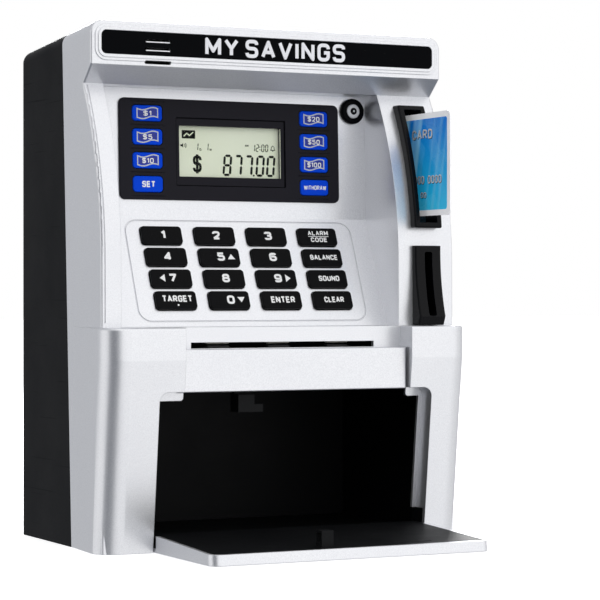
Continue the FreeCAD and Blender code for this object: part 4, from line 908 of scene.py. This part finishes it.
def card_signs(height, shift):
    """The plain words and zeros on one side of the card, moved right and down by shift."""
    d = Drawing()
    for word, x in CARD_WORDS.items():
        d.text(word, x + shift, 0.5 * height - CARD_WORDS_DOWN - shift, *CARD_LETTERS)
    for sign, count, first, step, y, size in CARD_ROWS:
        for i in range(count):
            d.text(sign, first + i * step + shift, y - shift, *size)
    return d


def card_faces(white, shade):
    """Blue print inside a white border, plain words and plain raised digits, on both sides."""
    blue = card_blue()
    for side, normal in (("left", (-1, 0, 0)), ("right", (1, 0, 0))):
        place, width, height = surface("play_card", normal)
        d = Drawing()
        d.shape(rounded(width - 2 * CARD_BORDER, height - 2 * CARD_BORDER, CARD_ROUND))
        name = f"card_print_{side}"
        piece(name, d.mesh(name, place, *CARD_PRINT_DEPTH), blue, "card")
        name = f"card_shade_{side}"
        mesh = card_signs(height, CARD_SHADE_SHIFT).mesh(name, place, 0.0, CARD_SHADE_PROUD)
        piece(name, mesh, shade, "card")
        name = f"card_words_{side}"
        mesh = card_signs(height, 0.0).mesh(name, place, 0.0, CARD_SIGNS_PROUD)
        piece(name, mesh, white, "card")


# ---- studio -----------------------------------------------------------------------------
# Each bright or dark part of the surroundings fades in between two cosines of the angle from its middle.
KEY_FROM = (0.35, -0.90, 0.20)               # the bright side of the surroundings
KEY_FADE = (-0.55, 0.80)
LEFT_CARD = (-0.97, 0.20, 0.0)               # a brighter card far round to the left
LEFT_CARD_FADE = (0.84, 0.96)
DARK_CARD = (-0.78, -0.62, 0.0)              # and a dark one to the left of the front
DARK_CARD_FADE = (0.82, 0.97)
UP_FADE = (-0.80, -0.22)                     # from below to the surroundings
STUDIO_BRIGHT = (0.94, 0.94, 0.94, 1.0)
STUDIO_DIM = (0.58, 0.59, 0.61, 1.0)
STUDIO_CARD = (0.08, 0.09, 0.11, 1.0)
STUDIO_STRIP = (1.12, 1.12, 1.12, 1.0)
STUDIO_BELOW = (0.15, 0.165, 0.195, 1.0)
SEEN_WHITE = (1.0, 1.0, 1.0, 1.0)
SUN_FROM = (0.25, -0.90, 0.60)
SUN_WIDE = 120                               # degrees across
SUN_POWER = 0.72
BACK_LIGHT_AT = (0.7, 1.5, 0.9)
BACK_LIGHT_TO = (0.0, 0.0, 0.13)
BACK_LIGHT_SIZE = 0.8
BACK_LIGHT_POWER = 26.0
FLOOR_REACH = 9.0
FLOOR_GLOW = 0.62
CAMERA_AT = (-0.53697, -1.13280, 0.12977)
CAMERA_DOWN = 0.215                          # degrees below the horizon
CAMERA_TURN = 26.764                         # degrees to the right of straight ahead
CAMERA_LENS = 142.14
CAMERA_SENSOR = 36.0
CAMERA_CLIP = (0.05, 60.0)


def aim(light, towards):
    light.rotation_mode = "QUATERNION"
    light.rotation_quaternion = Vector(towards).to_track_quat("-Z", "Y")


def plain_floor():
    """A pale floor that lights nothing and shows in no reflection."""
    g = Graph("pale_floor")
    soft = g.noise(180.0, 3.0, 0.5)
    base = g.blend(g.remap(soft, 0.3, 0.7), srgb(246, 246, 246), srgb(250, 250, 250))
    g.set(Base_Color=base, Roughness=g.remap(soft, 0.3, 0.7, 0.5, 0.6), Emission_Color=srgb(255, 255, 255),
          Emission_Strength=FLOOR_GLOW)
    mesh = bpy.data.meshes.new("floor")
    corners = [(x * FLOOR_REACH, y * FLOOR_REACH, 0) for x, y in ((-1, -1), (1, -1), (1, 1), (-1, 1))]
    mesh.from_pydata(corners, [], [(0, 1, 2, 3)])
    mesh.materials.append(g.material)
    floor = add_to_scene("floor", mesh)
    floor.visible_diffuse = False
    floor.visible_glossy = False


def studio_world():
    """Soft surroundings: brightest at the right front, dim at the left and below, white to the camera."""
    world = bpy.data.worlds.new("studio")
    bpy.context.scene.world = world
    world.use_nodes = True
    nodes, links = world.node_tree.nodes, world.node_tree.links
    direction = nodes.new("ShaderNodeTexCoord").outputs["Generated"]

    def ramp(towards, fade):
        """A factor that goes from 0 to 1 as the direction turns towards a vector."""
        facing = nodes.new("ShaderNodeVectorMath")
        facing.operation = "DOT_PRODUCT"
        links.new(direction, facing.inputs[0])
        facing.inputs[1].default_value = Vector(towards).normalized()
        scale = nodes.new("ShaderNodeMapRange")
        scale.interpolation_type = "SMOOTHSTEP"
        scale.inputs["From Min"].default_value, scale.inputs["From Max"].default_value = fade
        links.new(facing.outputs["Value"], scale.inputs["Value"])
        return scale.outputs[0]

    def mix(share, first, second):
        node = nodes.new("ShaderNodeMix")
        node.data_type = "RGBA"
        for socket, value in zip((node.inputs[0], node.inputs[6], node.inputs[7]), (share, first, second)):
            if isinstance(value, bpy.types.NodeSocket):
                links.new(value, socket)
            else:
                socket.default_value = value
        return node.outputs[2]

    around = mix(ramp(KEY_FROM, KEY_FADE), STUDIO_DIM, STUDIO_BRIGHT)
    around = mix(ramp(LEFT_CARD, LEFT_CARD_FADE), around, STUDIO_STRIP)
    around = mix(ramp(DARK_CARD, DARK_CARD_FADE), around, STUDIO_CARD)
    lit = mix(ramp((0, 0, 1), UP_FADE), STUDIO_BELOW, around)
    seen = nodes.new("ShaderNodeLightPath").outputs["Is Camera Ray"]
    links.new(mix(seen, lit, SEEN_WHITE), nodes["Background"].inputs["Color"])


def studio_lights():
    """A wide soft sun that reaches all of the floor evenly, and a weaker light behind."""
    sun = bpy.data.lights.new("sun", "SUN")
    sun.angle = math.radians(SUN_WIDE)
    sun.energy = SUN_POWER
    aim(add_to_scene("sun", sun), -Vector(SUN_FROM))
    back = bpy.data.lights.new("back_fill", "AREA")
    back.shape = "SQUARE"
    back.size = BACK_LIGHT_SIZE
    back.energy = BACK_LIGHT_POWER
    light = add_to_scene("back_fill", back)
    light.location = BACK_LIGHT_AT
    aim(light, Vector(BACK_LIGHT_TO) - Vector(BACK_LIGHT_AT))


def camera():
    """The view from the bank's left front at about its middle height."""
    data = bpy.data.cameras.new("camera")
    data.sensor_width = CAMERA_SENSOR
    data.lens = CAMERA_LENS
    data.clip_start, data.clip_end = CAMERA_CLIP
    obj = add_to_scene("camera", data)
    obj.location = CAMERA_AT
    obj.rotation_euler = (math.radians(90 - CAMERA_DOWN), 0.0, -math.radians(CAMERA_TURN))
    bpy.context.scene.camera = obj


# ---- the whole scene --------------------------------------------------------------------
bpy.context.scene.view_settings.view_transform = "Standard"
MATERIALS = slot_materials()
finish_nodes(MATERIALS)
INK_WHITE = ink("ink_white", srgb(248, 248, 248))
INK_GREY = ink("ink_grey", srgb(206, 208, 206))
INK_NAVY = ink("ink_navy", srgb(4, 34, 150))
header_letters(moulded("letter_silver", srgb(232, 233, 238), 0.30, None, 0.5, 0.003, 0.05, metal=0.3))
sound_slot_lips(MATERIALS["silver_plastic"])
keypad_labels(INK_WHITE)
cash_key_labels(INK_GREY, INK_WHITE, INK_NAVY)
display(MATERIALS["gloss_black"])
camera_eye(MATERIALS["white_plastic"], MATERIALS["gloss_black"])
card_faces(INK_WHITE, ink("ink_card_shade", srgb(8, 44, 92)))
plain_floor()
studio_world()
studio_lights()
camera()
